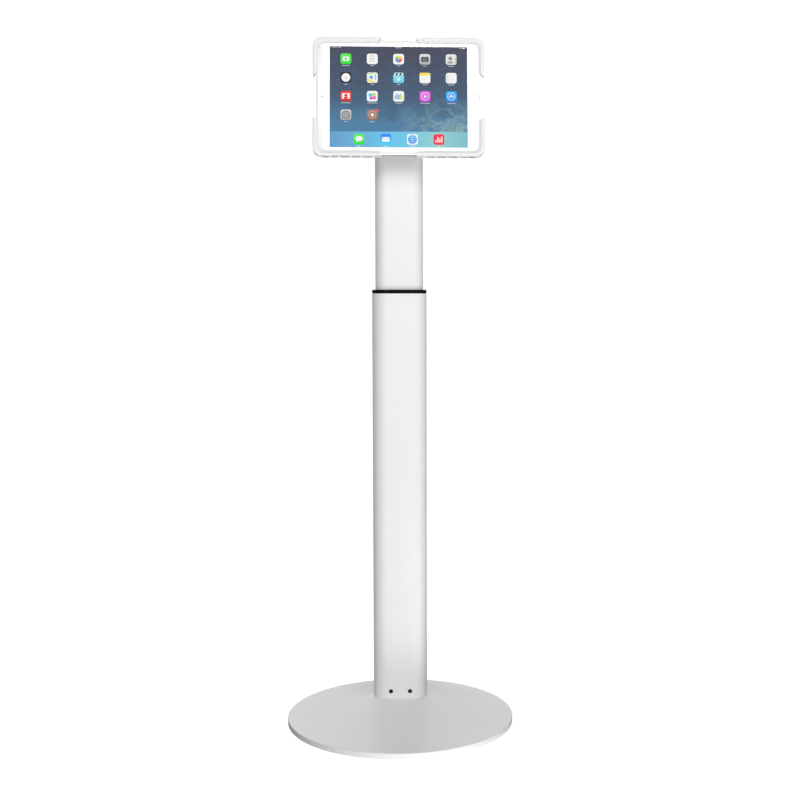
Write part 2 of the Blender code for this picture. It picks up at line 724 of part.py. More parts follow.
def build_turn_nut(bm):
    low = PLATE_BACK + GAP
    high = low + 0.0052
    hexagon = outline_hexagon(0.0118)
    bore = outline_circle(SPINDLE_RADIUS + GAP, HEXAGON_POINTS)
    rings = [upright(bore, low), upright(hexagon, low), upright(hexagon, high), upright(bore, high)]
    add_loft(bm, rings, closed=True)


def build_hub_screw(bm):
    """Countersunk screw about its own axis along Y, head to the front."""
    back = CASE_BACK_BACK
    front = CASE_BACK_FRONT
    places = ((0.0036, front + 0.0001), (0.0036, front + 0.0009), (0.0018, front + 0.0013),
              (0.0018, back + 0.0025))
    add_loft(bm, [upright(outline_circle(r, SCREW_SIDES), y) for r, y in places])


def clip_screw_place():
    """Screw in the upper right corner; the other corners mirror it."""
    inset = FLANGE_WIDTH / 2 + 0.0015
    return CASE_WIDTH / 2 - inset, CASE_HEIGHT / 2 - inset


def build_clip_screw(bm):
    head = CASE_BACK_BACK + GAP
    places = ((0.0014, GLASS_FRONT + FLANGE_FRONT + 0.0004), (0.0014, head), (0.0028, head),
              (0.0028, head + 0.001), (0.0022, head + 0.0016))
    add_loft(bm, [upright(outline_circle(r, SCREW_SIDES), y) for r, y in places])


def build_case_back(bm):
    margin = 0.002
    half_x = CASE_WIDTH / 2 - margin
    half_z = CASE_HEIGHT / 2 - margin
    full = outline_box(half_x, half_z, CASE_CORNER - margin)
    small = outline_box(half_x - 0.001, half_z - 0.001, CASE_CORNER - margin - 0.001)
    add_loft(bm, [upright(full, CASE_BACK_FRONT), upright(full, CASE_BACK_BACK - 0.001),
                  upright(small, CASE_BACK_BACK)])


def cut_case_back(bm):
    front = CASE_BACK_FRONT - 0.001
    back = CASE_BACK_BACK + 0.001
    screw_x, screw_z = clip_screw_place()
    for sx, sz in CORNERS.values():
        add_rod(bm, CLIP_SCREW_HOLE, (sx * screw_x, front, sz * screw_z), (sx * screw_x, back, sz * screw_z))
    for x, z in hub_screw_places():
        seat = CASE_BACK_FRONT + 0.0014
        places = ((0.0039, front), (0.0039, seat), (HUB_SCREW_HOLE, seat), (HUB_SCREW_HOLE, back))
        add_loft(bm, [upright(outline_circle(r, SCREW_SIDES, x, z), y) for r, y in places])
    slot = outline_box(0.016, 0.003, 0.0029, 2)
    for row in VENT_ROWS:
        for side in (-1, 1):
            placed = [(side * VENT_SIDE + x, row * VENT_ROW_STEP + z) for x, z in slot]
            add_loft(bm, [upright(placed, y) for y in (front, back)])
    add_rod(bm, 0.0045, (0, front, 0), (0, back, 0), 16)


def clip_path(half_x, half_z, corner, end_x, end_z, steps=4):
    """Open L-shaped run in the upper right quarter, from the top arm's end round to the side arm's end."""
    points = [(end_x, half_z)]
    for step in range(steps + 1):
        angle = math.radians(90) * (1 - step / steps)
        x = half_x - corner + corner * math.cos(angle)
        z = half_z - corner + corner * math.sin(angle)
        points.append((x, z))
    points.append((half_x, end_z))
    return points


def build_clip(bm):
    """Corner clip for the upper right corner: outer wall, front lip and rear flange in one section."""
    half_x = CASE_WIDTH / 2
    half_z = CASE_HEIGHT / 2
    wall_x = half_x - (TABLET_WIDTH / 2 + 0.00035)
    wall_z = half_z - (TABLET_HEIGHT / 2 + GAP)

    def run(inset_x, inset_z, depth, ends=0.0, corner=None):
        radius = max(CASE_CORNER - inset_x, 0.0005) if corner is None else corner
        path = clip_path(half_x - inset_x, half_z - inset_z, radius, ARM_END_X + ends, ARM_END_Z + ends)
        return [(x, GLASS_FRONT + depth, z) for x, z in path]

    lip = LIP_WIDTH
    section = [run(0.0, 0.0, FLANGE_BACK - 0.0008), run(0.0, 0.0, -0.0014), run(0.0009, 0.0009, -0.0024),
               run(0.0032, 0.0032, -0.0026, 0.0005),
               run(lip, lip, -0.0010, 0.0035, 0.0045), run(lip, lip, -0.0004, 0.0035, 0.0045),
               run(wall_x, wall_z, -0.0004), run(wall_x, wall_z, FLANGE_FRONT),
               run(FLANGE_WIDTH, FLANGE_WIDTH, FLANGE_FRONT, 0.0, 0.006),
               run(FLANGE_WIDTH, FLANGE_WIDTH, FLANGE_BACK, 0.0, 0.006),
               run(0.0008, 0.0008, FLANGE_BACK)]
    add_strip(bm, section)


def cut_clip(bm):
    front = GLASS_FRONT + 0.0016
    back = GLASS_FRONT + 0.0074
    for start, end in zip(VENT_STARTS, VENT_ENDS):
        add_block(bm, (start, front, TABLET_HEIGHT / 2 - 0.001), (end, back, CASE_HEIGHT / 2 + 0.001))
    for start, end in SIDE_VENTS:
        add_block(bm, (TABLET_WIDTH / 2 - 0.001, front, start), (CASE_WIDTH / 2 + 0.001, back, end))
    x, z = clip_screw_place()
    front = GLASS_FRONT + FLANGE_FRONT - 0.001
    back = GLASS_FRONT + FLANGE_BACK + 0.001
    add_rod(bm, CLIP_SCREW_HOLE, (x, front, z), (x, back, z))


def mirrored(build, side_x, side_z):
    def turned(bm):
        build(bm)
        for vert in bm.verts:
            vert.co.x *= side_x
            vert.co.z *= side_z
    return turned


def build_liner(bm):
    """Thin rubber strip inside the upper right clip's wall, beside the tablet's curved edge."""
    rings = []
    front = 0.0044
    back = FLANGE_FRONT - GAP
    for slack, depth in ((0.0, front), (0.0, back), (0.0008, back), (0.0008, front)):
        path = clip_path(TABLET_WIDTH / 2 - slack, TABLET_HEIGHT / 2 - slack, TABLET_CORNER - slack,
                         ARM_END_X + 0.002, ARM_END_Z + 0.002)
        rings.append([(x, GLASS_FRONT + depth, z) for x, z in path])
    add_strip(bm, rings)


def make_case(parent):
    make_piece("case_hub", SILVER, build_hub, parent, cutter=cut_hub)
    make_piece("turn_stop_pin", STEEL, build_stop_pin, parent)
    make_piece("turn_nut", STEEL, build_turn_nut, parent)
    make_piece("case_back", WHITE_PLASTIC, build_case_back, parent, cutter=cut_case_back)
    for number, (x, z) in enumerate(hub_screw_places(), 1):
        make_piece(f"hub_screw_{number}", STEEL, build_hub_screw, parent, location=(x, 0, z))
    screw_x, screw_z = clip_screw_place()
    for corner, (side_x, side_z) in CORNERS.items():
        make_piece(f"corner_clip_{corner}", WHITE_PLASTIC, mirrored(build_clip, side_x, side_z), parent,
                   cutter=mirrored(cut_clip, side_x, side_z))
        make_piece(f"edge_liner_{corner}", BLACK_RUBBER, mirrored(build_liner, side_x, side_z), parent)
        make_piece(f"clip_screw_{corner}", BLACK_STEEL, build_clip_screw, parent,
                   location=(side_x * screw_x, 0, side_z * screw_z))


# ---------------------------------------------------------------- tablet
GLASS_THICK = 0.0008
GLASS_MARGIN = 0.0018
HOME_X = 0.1104
HOME_RADIUS = 0.006
CAMERA_X = -0.1089
POWER_Z = 0.0568
VOLUME_UP_X = -0.0771
VOLUME_DOWN_X = -0.0612
EDGE_BUTTON_DEPTH = 0.0017
EDGE_BUTTON_LENGTH = 0.0095


def shell_ring(inset, depth):
    corner = max(TABLET_CORNER - inset, 0.002)
    outline = outline_box(TABLET_WIDTH / 2 - inset, TABLET_HEIGHT / 2 - inset, corner, 5)
    return upright(outline, GLASS_FRONT + depth)


def build_shell(bm):
    """Tray with a curved back edge, open at the front where the glass sits."""
    outside = ((0.0003, 0.0003), (0.0, 0.0007), (0.0, 0.0026), (0.0008, 0.0037), (0.0025, 0.0052),
               (0.005, 0.0065), (0.009, 0.0074), (0.012, 0.0075))
    inside = ((0.0132, 0.0067), (0.0108, 0.0066), (0.0062, 0.0058), (0.0034, 0.0043), (0.0015, 0.0030),
              (0.0015, 0.0003))
    add_loft(bm, [shell_ring(*place) for place in outside[::-1] + inside[::-1]])


def cut_edge_buttons(bm):
    grow = 0.0002
    long = EDGE_BUTTON_LENGTH / 2 + grow
    depth = (GLASS_FRONT + EDGE_BUTTON_DEPTH - 0.0007 - grow, GLASS_FRONT + EDGE_BUTTON_DEPTH + 0.0007 + grow)
    left = -TABLET_WIDTH / 2
    top = TABLET_HEIGHT / 2
    add_block(bm, (left - 0.001, depth[0], POWER_Z - long), (left + 0.0025, depth[1], POWER_Z + long))
    for x in (VOLUME_UP_X, VOLUME_DOWN_X):
        add_block(bm, (x - long, depth[0], top - 0.0025), (x + long, depth[1], top + 0.001))


def build_glass(bm):
    outline = outline_box(TABLET_WIDTH / 2 - GLASS_MARGIN, TABLET_HEIGHT / 2 - GLASS_MARGIN,
                          TABLET_CORNER - GLASS_MARGIN, 5)
    small = outline_box(TABLET_WIDTH / 2 - GLASS_MARGIN - 0.0002, TABLET_HEIGHT / 2 - GLASS_MARGIN - 0.0002,
                        TABLET_CORNER - GLASS_MARGIN - 0.0002, 5)
    add_loft(bm, [upright(small, GLASS_FRONT), upright(outline, GLASS_FRONT + 0.0002),
                  upright(outline, GLASS_FRONT + GLASS_THICK)])


def cut_glass(bm):
    for x, radius in ((HOME_X, HOME_RADIUS + 0.00025), (CAMERA_X, 0.0016)):
        add_rod(bm, radius, (x, GLASS_FRONT - 0.001, 0), (x, GLASS_FRONT + 0.002, 0), 28)


def slab(half_x, half_z, front, back, cx=0.0, cz=0.0, corner=0.002):
    def build(bm):
        outline = [(cx + x, cz + z) for x, z in outline_box(half_x, half_z, corner, 2)]
        add_loft(bm, [upright(outline, GLASS_FRONT + front), upright(outline, GLASS_FRONT + back)])
    return build


def build_home_button(bm):
    places = ((HOME_RADIUS - 0.0004, 0.0), (HOME_RADIUS, 0.0003), (HOME_RADIUS, 0.0015))
    add_loft(bm, [upright(outline_circle(r, 24), y) for r, y in places])


def build_edge_button_side(bm):
    """Pill on the left edge, pressed towards +X; origin at its outer face."""
    outline = outline_box(0.0007, EDGE_BUTTON_LENGTH / 2, 0.0006, 3)
    add_loft(bm, [[(x, y, z) for y, z in outline] for x in (0.0, 0.0019)])


def build_edge_button_top(bm):
    """Pill on the top edge, pressed towards -Z; origin at its outer face."""
    outline = outline_box(EDGE_BUTTON_LENGTH / 2, 0.0007, 0.0006, 3)
    add_loft(bm, [[(x, y, z) for x, y in outline] for z in (-0.0019, 0.0)])


def make_tablet(parent):
    make_piece("tablet_shell", SILVER, build_shell, parent, cutter=cut_edge_buttons)
    make_piece("tablet_glass", GLASS_WHITE, build_glass, parent, cutter=cut_glass)
    make_piece("display_panel", SCREEN, slab(0.1010, 0.0765, 0.0011, 0.0026), parent)
    make_piece("tablet_battery", BATTERY_GREY, slab(0.0700, 0.0600, 0.0030, 0.0060, -0.020), parent)
    make_piece("tablet_board", GREEN_BOARD, slab(0.0150, 0.0600, 0.0030, 0.0042, 0.075), parent)

    def build_lens(bm):
        add_rod(bm, 0.0013, (CAMERA_X, GLASS_FRONT + 0.0002, 0), (CAMERA_X, GLASS_FRONT + 0.0020, 0), 16)
    make_piece("camera_lens", BLACK_STEEL, build_lens, parent)
    make_piece("home_button", GLASS_WHITE, build_home_button, parent,
               location=(HOME_X, GLASS_FRONT + 0.0002, 0))
    edge = GLASS_FRONT + EDGE_BUTTON_DEPTH
    side_out = 0.0001
    make_piece("power_button", SILVER, build_edge_button_side, parent,
               location=(-TABLET_WIDTH / 2 - side_out, edge, POWER_Z))
    for name, x in (("volume_up_button", VOLUME_UP_X), ("volume_down_button", VOLUME_DOWN_X)):
        make_piece(name, SILVER, build_edge_button_top, parent,
                   location=(x, edge, TABLET_HEIGHT / 2 + side_out))


def main():
    for item in list(bpy.data.objects):
        bpy.data.objects.remove(item, do_unlink=True)
    base = make_empty("base_frame", (0, 0, 0))
    make_base(base)
    make_column(base)
    make_lock(base)
    mast = make_empty("mast_slide_axis", (0, 0, 0))
    make_mast(mast)
    tilt_axis = make_empty("tilt_axis", (0, 0, PIVOT_HEIGHT), -TILT_BACK)
    make_tilt_head(tilt_axis)
    turn_axis = make_empty("turn_axis", (0, 0, 0), parent=tilt_axis)
    make_case(turn_axis)
    make_tablet(turn_axis)


main()
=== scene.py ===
import json
import math

import bmesh
import bpy
import numpy as np
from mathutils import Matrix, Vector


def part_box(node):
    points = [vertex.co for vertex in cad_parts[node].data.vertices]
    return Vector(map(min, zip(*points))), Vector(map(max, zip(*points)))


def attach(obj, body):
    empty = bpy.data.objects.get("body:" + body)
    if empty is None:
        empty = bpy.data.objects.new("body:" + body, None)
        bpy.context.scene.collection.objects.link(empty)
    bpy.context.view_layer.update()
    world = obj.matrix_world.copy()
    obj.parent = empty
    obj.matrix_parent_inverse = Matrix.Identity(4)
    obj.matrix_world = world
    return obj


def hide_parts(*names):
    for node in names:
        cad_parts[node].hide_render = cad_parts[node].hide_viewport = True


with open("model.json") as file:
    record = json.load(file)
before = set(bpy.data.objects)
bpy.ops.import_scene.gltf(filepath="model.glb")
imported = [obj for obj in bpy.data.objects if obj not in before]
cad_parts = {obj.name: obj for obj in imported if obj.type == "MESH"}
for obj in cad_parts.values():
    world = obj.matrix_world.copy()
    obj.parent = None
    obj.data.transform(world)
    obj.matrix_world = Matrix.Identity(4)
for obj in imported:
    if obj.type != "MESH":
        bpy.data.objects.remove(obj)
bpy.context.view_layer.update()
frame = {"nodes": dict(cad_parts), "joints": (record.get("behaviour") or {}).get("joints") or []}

nodes = frame["nodes"]
joints = {joint["name"]: joint for joint in frame["joints"]}
mm = 0.001
pole = 0.05 * mm           # radius left at a pole, closed by one small face
weldReach = 1e-7           # points nearer than this are one point
sharpAngle = 32            # degrees; flatter edges are shaded smooth
leftRight = ("left", "right")
cornerNames = ("top_left", "top_right", "bottom_left", "bottom_right")

# The head's own frame: X right, Y into the back of the case, Z up along the screen, origin on the tilt axis.
pivot = np.array(joints["head_tilt"]["pos_m"], float)
intoCase = np.array(joints["case_turn"]["axis"], float)
intoCase /= np.linalg.norm(intoCase)
headAxes = np.array([(1.0, 0.0, 0.0), intoCase, np.cross((1.0, 0.0, 0.0), intoCase)])
turnAxis = tuple(intoCase)


def toRow(points):
    # row place = pivot + x * right + y * into the case + z * up the screen
    return pivot + np.asarray(points, float) @ headAxes


def toHead(points):
    # the same turned back: how far a row place lies from the pivot along each of the head's axes
    return (points - pivot) @ headAxes.T


def meshPoints(mesh):
    flat = np.zeros(len(mesh.vertices) * 3)
    mesh.vertices.foreach_get("co", flat)
    return flat.reshape(-1, 3)


def headBox(node):
    # lowest and highest corner of a node in the head's own frame
    local = toHead(meshPoints(nodes[node].data))
    return local.min(axis=0), local.max(axis=0)


def rowBox(node):
    low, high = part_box(node)
    return np.array(low), np.array(high)


def roundOf(low, high):
    # middle across, middle up and radius of a round node that lies along Y
    return (low[0] + high[0]) / 2, (low[2] + high[2]) / 2, (high[0] - low[0]) / 2


# outlines and profiles, as whole arrays
def ovalOutline(width, depth, count=128):
    # flat oval: angle t runs round; x = reach * side + r cos t, y = r sin t, and straight runs join the
    # two half circles
    radius = depth / 2
    reach = width / 2 - radius
    half = np.linspace(-math.pi / 2, math.pi / 2, count // 2)
    right = np.stack([reach + radius * np.cos(half), radius * np.sin(half)], 1)
    return np.concatenate([right, -right])


def boxOutline(halfX, halfY, radius, steps=8, centre=(0.0, 0.0)):
    # rectangle with round corners: each corner is centre + radius * (cos t, sin t) over a quarter turn
    turn = np.linspace(0, math.pi / 2, steps + 1)
    quarters = np.concatenate([turn - math.pi / 2, turn, turn + math.pi / 2, turn + math.pi])
    signs = np.repeat([(1, -1), (1, 1), (-1, 1), (-1, -1)], steps + 1, axis=0)
    inner = signs * (halfX - radius, halfY - radius)
    return inner + radius * np.stack([np.cos(quarters), np.sin(quarters)], 1) + centre


def circleOutline(radius, count=64, centre=(0.0, 0.0)):
    # radius * (cos t, sin t) + centre
    turn = np.arange(count) * 2 * math.pi / count
    return radius * np.stack([np.cos(turn), np.sin(turn)], 1) + centre


def eased(corners, radii, closed=True, steps=4):
    # each corner of a profile becomes a small curve: a quadratic from the point before to the point after
    corners = np.asarray(corners, float)
    radii = np.broadcast_to(np.asarray(radii, float), (len(corners),))
    before = np.roll(corners, 1, axis=0) - corners
    after = np.roll(corners, -1, axis=0) - corners
    reachBefore = np.linalg.norm(before[:, :2], axis=1) + 1e-12
    reachAfter = np.linalg.norm(after[:, :2], axis=1) + 1e-12
    cosine = np.sum(before[:, :2] * after[:, :2], axis=1) / (reachBefore * reachAfter)
    halfAngle = np.arccos(np.clip(cosine, -1, 1)) / 2
    cut = np.minimum(radii / np.maximum(np.tan(halfAngle), 1e-3), 0.45 * np.minimum(reachBefore, reachAfter))
    if not closed:
        cut[[0, -1]] = 0
    start = corners + before * (cut / reachBefore)[:, None]
    end = corners + after * (cut / reachAfter)[:, None]
    t = np.linspace(0, 1, steps + 1)[None, :, None]
    curve = (1 - t) ** 2 * start[:, None] + 2 * t * (1 - t) * corners[:, None] + t ** 2 * end[:, None]
    rows = [curve[i] if cut[i] > 0 else corners[i:i + 1] for i in range(len(corners))]
    return np.concatenate(rows)


def raised(outline, height):
    # outline in X and Y, lifted to a height
    return np.column_stack([outline, np.full(len(outline), height)])


def facing(outline, depth):
    # outline in X and Z, set at a depth along Y
    return np.column_stack([outline[:, 0], np.full(len(outline), depth), outline[:, 1]])


def endOn(outline, place):
    # outline in Y and Z, set at a place along X
    return np.column_stack([np.full(len(outline), place), outline])


def turnedRows(profile, sides=96, axis="Z", centre=(0.0, 0.0, 0.0)):
    # surface of revolution: (radius, height) rows become radius * (cos t, sin t) round the axis there
    turn = np.arange(sides) * 2 * math.pi / sides
    radius, height = np.asarray(profile, float).T[:2]
    a = radius[:, None] * np.cos(turn)
    b = radius[:, None] * np.sin(turn)
    h = np.repeat(height[:, None], sides, axis=1)
    order = {"Z": (a, b, h), "Y": (a, h, b), "X": (h, a, b)}[axis]
    return np.stack(order, -1) + np.asarray(centre, float)


def skin(rows, along=False):
    # a stack of closed rings (rows, around, 3) becomes vertices and faces; along joins the last ring to
    # the first, and without it both ends are capped
    rows = np.asarray(rows, float)
    count, around = rows.shape[:2]
    index = np.arange(count * around).reshape(count, around)
    low = index if along else index[:-1]
    high = np.roll(index, -1, axis=0) if along else index[1:]
    quads = np.stack([low, np.roll(low, -1, axis=1), np.roll(high, -1, axis=1), high], -1).reshape(-1, 4)
    faces = quads.tolist()
    if not along:
        faces += [index[0].tolist(), index[-1].tolist()]
    return rows.reshape(-1, 3), faces


def strip(lines):
    # a closed section carried along an open path: lines are (corners of the section, steps of the path, 3)
    return skin(np.transpose(np.asarray(lines, float), (1, 0, 2)))


def turned(profile, sides=96, axis="Z", centre=(0.0, 0.0, 0.0), along=False):
    return skin(turnedRows(profile, sides, axis, centre), along)


def drill(radius, start, end, sides, axis="Y", centre=(0.0, 0.0, 0.0)):
    # a plain round hole, as the solid to take away
    return turned([(radius, start), (radius, end)], sides, axis, centre)


def block(low, high):
    (x0, y0, z0), (x1, y1, z1) = low, high
    ring = np.array([(x0, y0), (x1, y0), (x1, y1), (x0, y1)], float)
    return skin([raised(ring, z0), raised(ring, z1)])


def inHead(made):
    return toRow(made[0]), made[1]


def newObject(name, data):
    made = bpy.data.objects.new(name, data)
    bpy.context.scene.collection.objects.link(made)
    return made


def newMesh(name, skins, weld=True):
    # several skins in one mesh, with double points merged and every face turned outwards
    points = np.concatenate([made[0] for made in skins])
    faces = []
    offset = 0
    for made in skins:
        faces += [[corner + offset for corner in face] for face in made[1]]
        offset += len(made[0])
    mesh = bpy.data.meshes.new(name)
    mesh.from_pydata(points.tolist(), [], faces)
    work = bmesh.new()
    work.from_mesh(mesh)
    if weld:
        bmesh.ops.remove_doubles(work, verts=work.verts, dist=weldReach)
    bmesh.ops.recalc_face_normals(work, faces=work.faces)
    if work.calc_volume(signed=True) < 0:
        bmesh.ops.reverse_faces(work, faces=work.faces)
    work.to_mesh(mesh)
    work.free()
    return mesh


def shaped(piece, skins, operation):
    # a solid made from skins is taken from the piece, or joined to it, and the piece keeps the result
    tool = newObject("tool", newMesh("tool", skins))
    change = piece.modifiers.new("shape", "BOOLEAN")
    change.operation = operation
    change.solver = "EXACT"
    change.object = tool
    bpy.context.view_layer.update()
    solid = bpy.data.meshes.new_from_object(piece.evaluated_get(bpy.context.evaluated_depsgraph_get()))
    piece.modifiers.clear()
    piece.data = solid
    bpy.data.objects.remove(tool)


def softened(piece, width):
    bevel = piece.modifiers.new("edges", "BEVEL")
    bevel.width = width
    bevel.segments = 2
    bevel.limit_method = "ANGLE"
    bevel.angle_limit = math.radians(sharpAngle)
    bevel.harden_normals = True


def makePiece(name, skins, finish, body, replaced=None, joins=(), cuts=(), later=(), soft=0.0,
              smooth=sharpAngle):
    # later holds cuts that cross the first ones, so each of them is taken away on its own
    piece = newObject(name, newMesh(name, skins))
    steps = [(joins, "UNION"), (cuts, "DIFFERENCE")] + [([cut], "DIFFERENCE") for cut in later]
    for tools, operation in steps:
        if tools:
            shaped(piece, tools, operation)
    piece.data.shade_smooth()
    piece.data.set_sharp_from_angle(angle=math.radians(smooth))
    piece.data.materials.clear()
    piece.data.materials.append(finish)
    if soft:
        softened(piece, soft)
    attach(piece, body)
    if replaced:
        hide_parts(replaced)
    return piece


# finishes
class Graph:
    # a short way to add and join shader nodes
    def __init__(self, tree, fresh=True):
        self.tree = tree
        if fresh:
            tree.nodes.clear()

    def add(self, kind, **values):
        node = self.tree.nodes.new(kind)
        for key, value in values.items():
            if hasattr(node, key):
                setattr(node, key, value)
        return node

    def join(self, source, target):
        self.tree.links.new(source, target)

    def number(self, operation, first, second=None, clamp=False):
        node = self.add("ShaderNodeMath", operation=operation, use_clamp=clamp)
        for socket, value in zip(node.inputs, (first, second)):
            if value is None:
                continue
            if isinstance(value, (int, float)):
                socket.default_value = value
            else:
                self.join(value, socket)
        return node.outputs[0]

    def span(self, value, low, high, toLow, toHigh):
        node = self.add("ShaderNodeMapRange")
        self.join(value, node.inputs["Value"])
        for name, number in (("From Min", low), ("From Max", high), ("To Min", toLow), ("To Max", toHigh)):
            node.inputs[name].default_value = number
        return node.outputs["Result"]

    def blend(self, factor, first, second):
        node = self.add("ShaderNodeMix", data_type="RGBA")
        for socket, value in ((node.inputs[0], factor), (node.inputs[6], first), (node.inputs[7], second)):
            if isinstance(value, (int, float)):
                socket.default_value = value
            elif isinstance(value, tuple):
                socket.default_value = (*value[:3], 1.0)
            else:
                self.join(value, socket)
        return node.outputs[2]

    def noise(self, vector, scale, detail=3.0, rough=0.55, distortion=0.0):
        node = self.add("ShaderNodeTexNoise")
        node.inputs["Scale"].default_value = scale
        node.inputs["Detail"].default_value = detail
        node.inputs["Roughness"].default_value = rough
        node.inputs["Distortion"].default_value = distortion
        self.join(vector, node.inputs["Vector"])
        return node.outputs["Fac"]

    def vector(self, operation, first, second=None):
        node = self.add("ShaderNodeVectorMath", operation=operation)
        self.join(first, node.inputs[0])
        if isinstance(second, tuple):
            node.inputs[1].default_value = second
        elif second is not None:
            self.join(second, node.inputs[1])
        return node.outputs["Value" if operation in ("DOT_PRODUCT", "LENGTH") else "Vector"]

    def cells(self, vector, scale, **values):
        node = self.add("ShaderNodeTexVoronoi", **values)
        node.inputs["Scale"].default_value = scale
        self.join(vector, node.inputs["Vector"])
        return node.outputs

    def ramp(self, value, stops):
        node = self.add("ShaderNodeValToRGB")
        elements = node.color_ramp.elements
        while len(elements) < len(stops):
            elements.new(0.5)
        for element, (place, colour) in zip(elements, stops):
            element.position = place
            element.color = (*colour, 1.0)
        self.join(value, node.inputs[0])
        return node.outputs[0]


def setSockets(node, values):
    for socket, value in values.items():
        node.inputs[socket].default_value = value


def newMaterial(name):
    material = bpy.data.materials.new(name)
    material.use_nodes = True
    graph = Graph(material.node_tree)
    shader = graph.add("ShaderNodeBsdfPrincipled")
    graph.join(shader.outputs[0], graph.add("ShaderNodeOutputMaterial").inputs["Surface"])
    return material, graph, shader


finishBasis = dict(
    colour=(0.8, 0.8, 0.8),
    shade=(0.76, 0.76, 0.76),      # what the slow colour drift goes towards
    driftScale=22.0,
    roughness=0.45,
    roughDrift=0.06,
    roughScale=160.0,
    metallic=0.0,
    ior=1.45,
    coat=0.0,
    coatRoughness=0.1,
    specular=0.5,
    grainScale=1400.0,             # fine surface texture
    grainHeight=0.02 * mm,
    grainStrength=0.25,
    stretch=(1.0, 1.0, 1.0),       # draws the grain out into brush lines
    round=0.0,                     # radius that catches light along hard edges
    wear=0.0,                      # how far the worn colour shows on edges
    wornColour=(0.6, 0.6, 0.6),
    specks=0.0,
    speckColour=(0.4, 0.4, 0.4),
    speckScale=260.0,
    rings=None,                    # centre and axis of lathe lines
    ringPitch=0.35 * mm,
)


def latheLines(graph, place, rings, pitch):
    # sine of the distance from the axis: |(place - centre) x axis| * 2 pi / pitch
    centre, axis = rings
    fromCentre = graph.vector("SUBTRACT", place, centre)
    distance = graph.vector("LENGTH", graph.vector("CROSS_PRODUCT", fromCentre, axis))
    return graph.number("SINE", graph.number("MULTIPLY", distance, 2 * math.pi / pitch))


def makeFinish(name, **changes):
    look = {**finishBasis, **changes}
    material, graph, shader = newMaterial(name)
    place = graph.add("ShaderNodeTexCoord").outputs["Object"]
    setSockets(shader, {"Metallic": look["metallic"], "IOR": look["ior"], "Coat Weight": look["coat"],
                        "Coat Roughness": look["coatRoughness"], "Specular IOR Level": look["specular"]})
    drift = graph.noise(place, look["driftScale"], 4.0)
    colour = graph.blend(graph.span(drift, 0.35, 0.68, 0.0, 1.0), look["colour"], look["shade"])
    if look["specks"]:
        dots = graph.cells(place, look["speckScale"])
        spot = graph.span(dots["Distance"], 0.05, 0.11, look["specks"], 0.0)
        colour = graph.blend(spot, colour, look["speckColour"])
    mapping = graph.add("ShaderNodeMapping")
    mapping.inputs["Scale"].default_value = look["stretch"]
    graph.join(place, mapping.inputs["Vector"])
    grain = graph.noise(mapping.outputs[0], look["grainScale"], 2.0)
    if look["rings"]:
        lines = latheLines(graph, place, look["rings"], look["ringPitch"])
        grain = graph.number("ADD", graph.number("MULTIPLY", lines, 0.3), grain)
    bump = graph.add("ShaderNodeBump")
    setSockets(bump, {"Strength": look["grainStrength"], "Distance": look["grainHeight"]})
    graph.join(grain, bump.inputs["Height"])
    if look["round"]:
        edge = graph.add("ShaderNodeBevel", samples=4)
        edge.inputs["Radius"].default_value = look["round"]
        graph.join(edge.outputs[0], bump.inputs["Normal"])
        if look["wear"]:
            straight = graph.add("ShaderNodeNewGeometry").outputs["Normal"]
            lean = graph.vector("DOT_PRODUCT", edge.outputs[0], straight)
            rub = graph.span(lean, 0.99, 0.86, 0.0, look["wear"])
            rub = graph.number("MULTIPLY", rub, graph.span(drift, 0.4, 0.6, 0.3, 1.0))
            colour = graph.blend(rub, colour, look["wornColour"])
    graph.join(bump.outputs[0], shader.inputs["Normal"])
    graph.join(colour, shader.inputs["Base Color"])
    patch = graph.noise(place, look["roughScale"], 3.0)
    low, high = look["roughness"] - look["roughDrift"], look["roughness"] + look["roughDrift"]
    graph.join(graph.span(patch, 0.3, 0.7, low, high), shader.inputs["Roughness"])
    return material


coatWhite = makeFinish("coatWhite", colour=(0.86, 0.86, 0.86), shade=(0.84, 0.84, 0.845), driftScale=9.0,
                       roughness=0.42, roughDrift=0.05, grainScale=650.0, grainHeight=0.03 * mm,
                       grainStrength=0.3, specks=0.05, speckColour=(0.62, 0.62, 0.62), speckScale=130.0)
mouldedWhite = makeFinish("mouldedWhite", colour=(0.87, 0.87, 0.87), shade=(0.85, 0.85, 0.86),
                          driftScale=30.0, roughness=0.36, roughDrift=0.05, grainScale=2600.0,
                          grainHeight=0.015 * mm, grainStrength=0.3)
mouldedBlack = makeFinish("mouldedBlack", colour=(0.012, 0.012, 0.013), shade=(0.022, 0.022, 0.024),
                          roughness=0.42, roughDrift=0.08, grainScale=2200.0, grainHeight=0.03 * mm,
                          grainStrength=0.5, round=0.25 * mm, wear=0.35, wornColour=(0.09, 0.09, 0.09))
collarBlack = makeFinish("collarBlack", colour=(0.004, 0.004, 0.004), shade=(0.006, 0.006, 0.006),
                         roughness=0.7, specular=0.12, grainScale=2200.0, grainHeight=0.03 * mm,
                         grainStrength=0.4)
softBlack = makeFinish("softBlack", colour=(0.014, 0.014, 0.014), shade=(0.028, 0.027, 0.026), roughness=0.78,
                       roughDrift=0.08, grainScale=1500.0, grainHeight=0.06 * mm, grainStrength=0.5,
                       specks=0.25, speckColour=(0.08, 0.08, 0.075), speckScale=600.0)
turnedSteel = makeFinish("turnedSteel", colour=(0.52, 0.52, 0.53), shade=(0.42, 0.42, 0.44), metallic=1.0,
                         roughness=0.32, roughDrift=0.1, grainScale=500.0, grainHeight=0.01 * mm,
                         stretch=(1.0, 1.0, 12.0), round=0.2 * mm, wear=0.4, wornColour=(0.75, 0.75, 0.76))
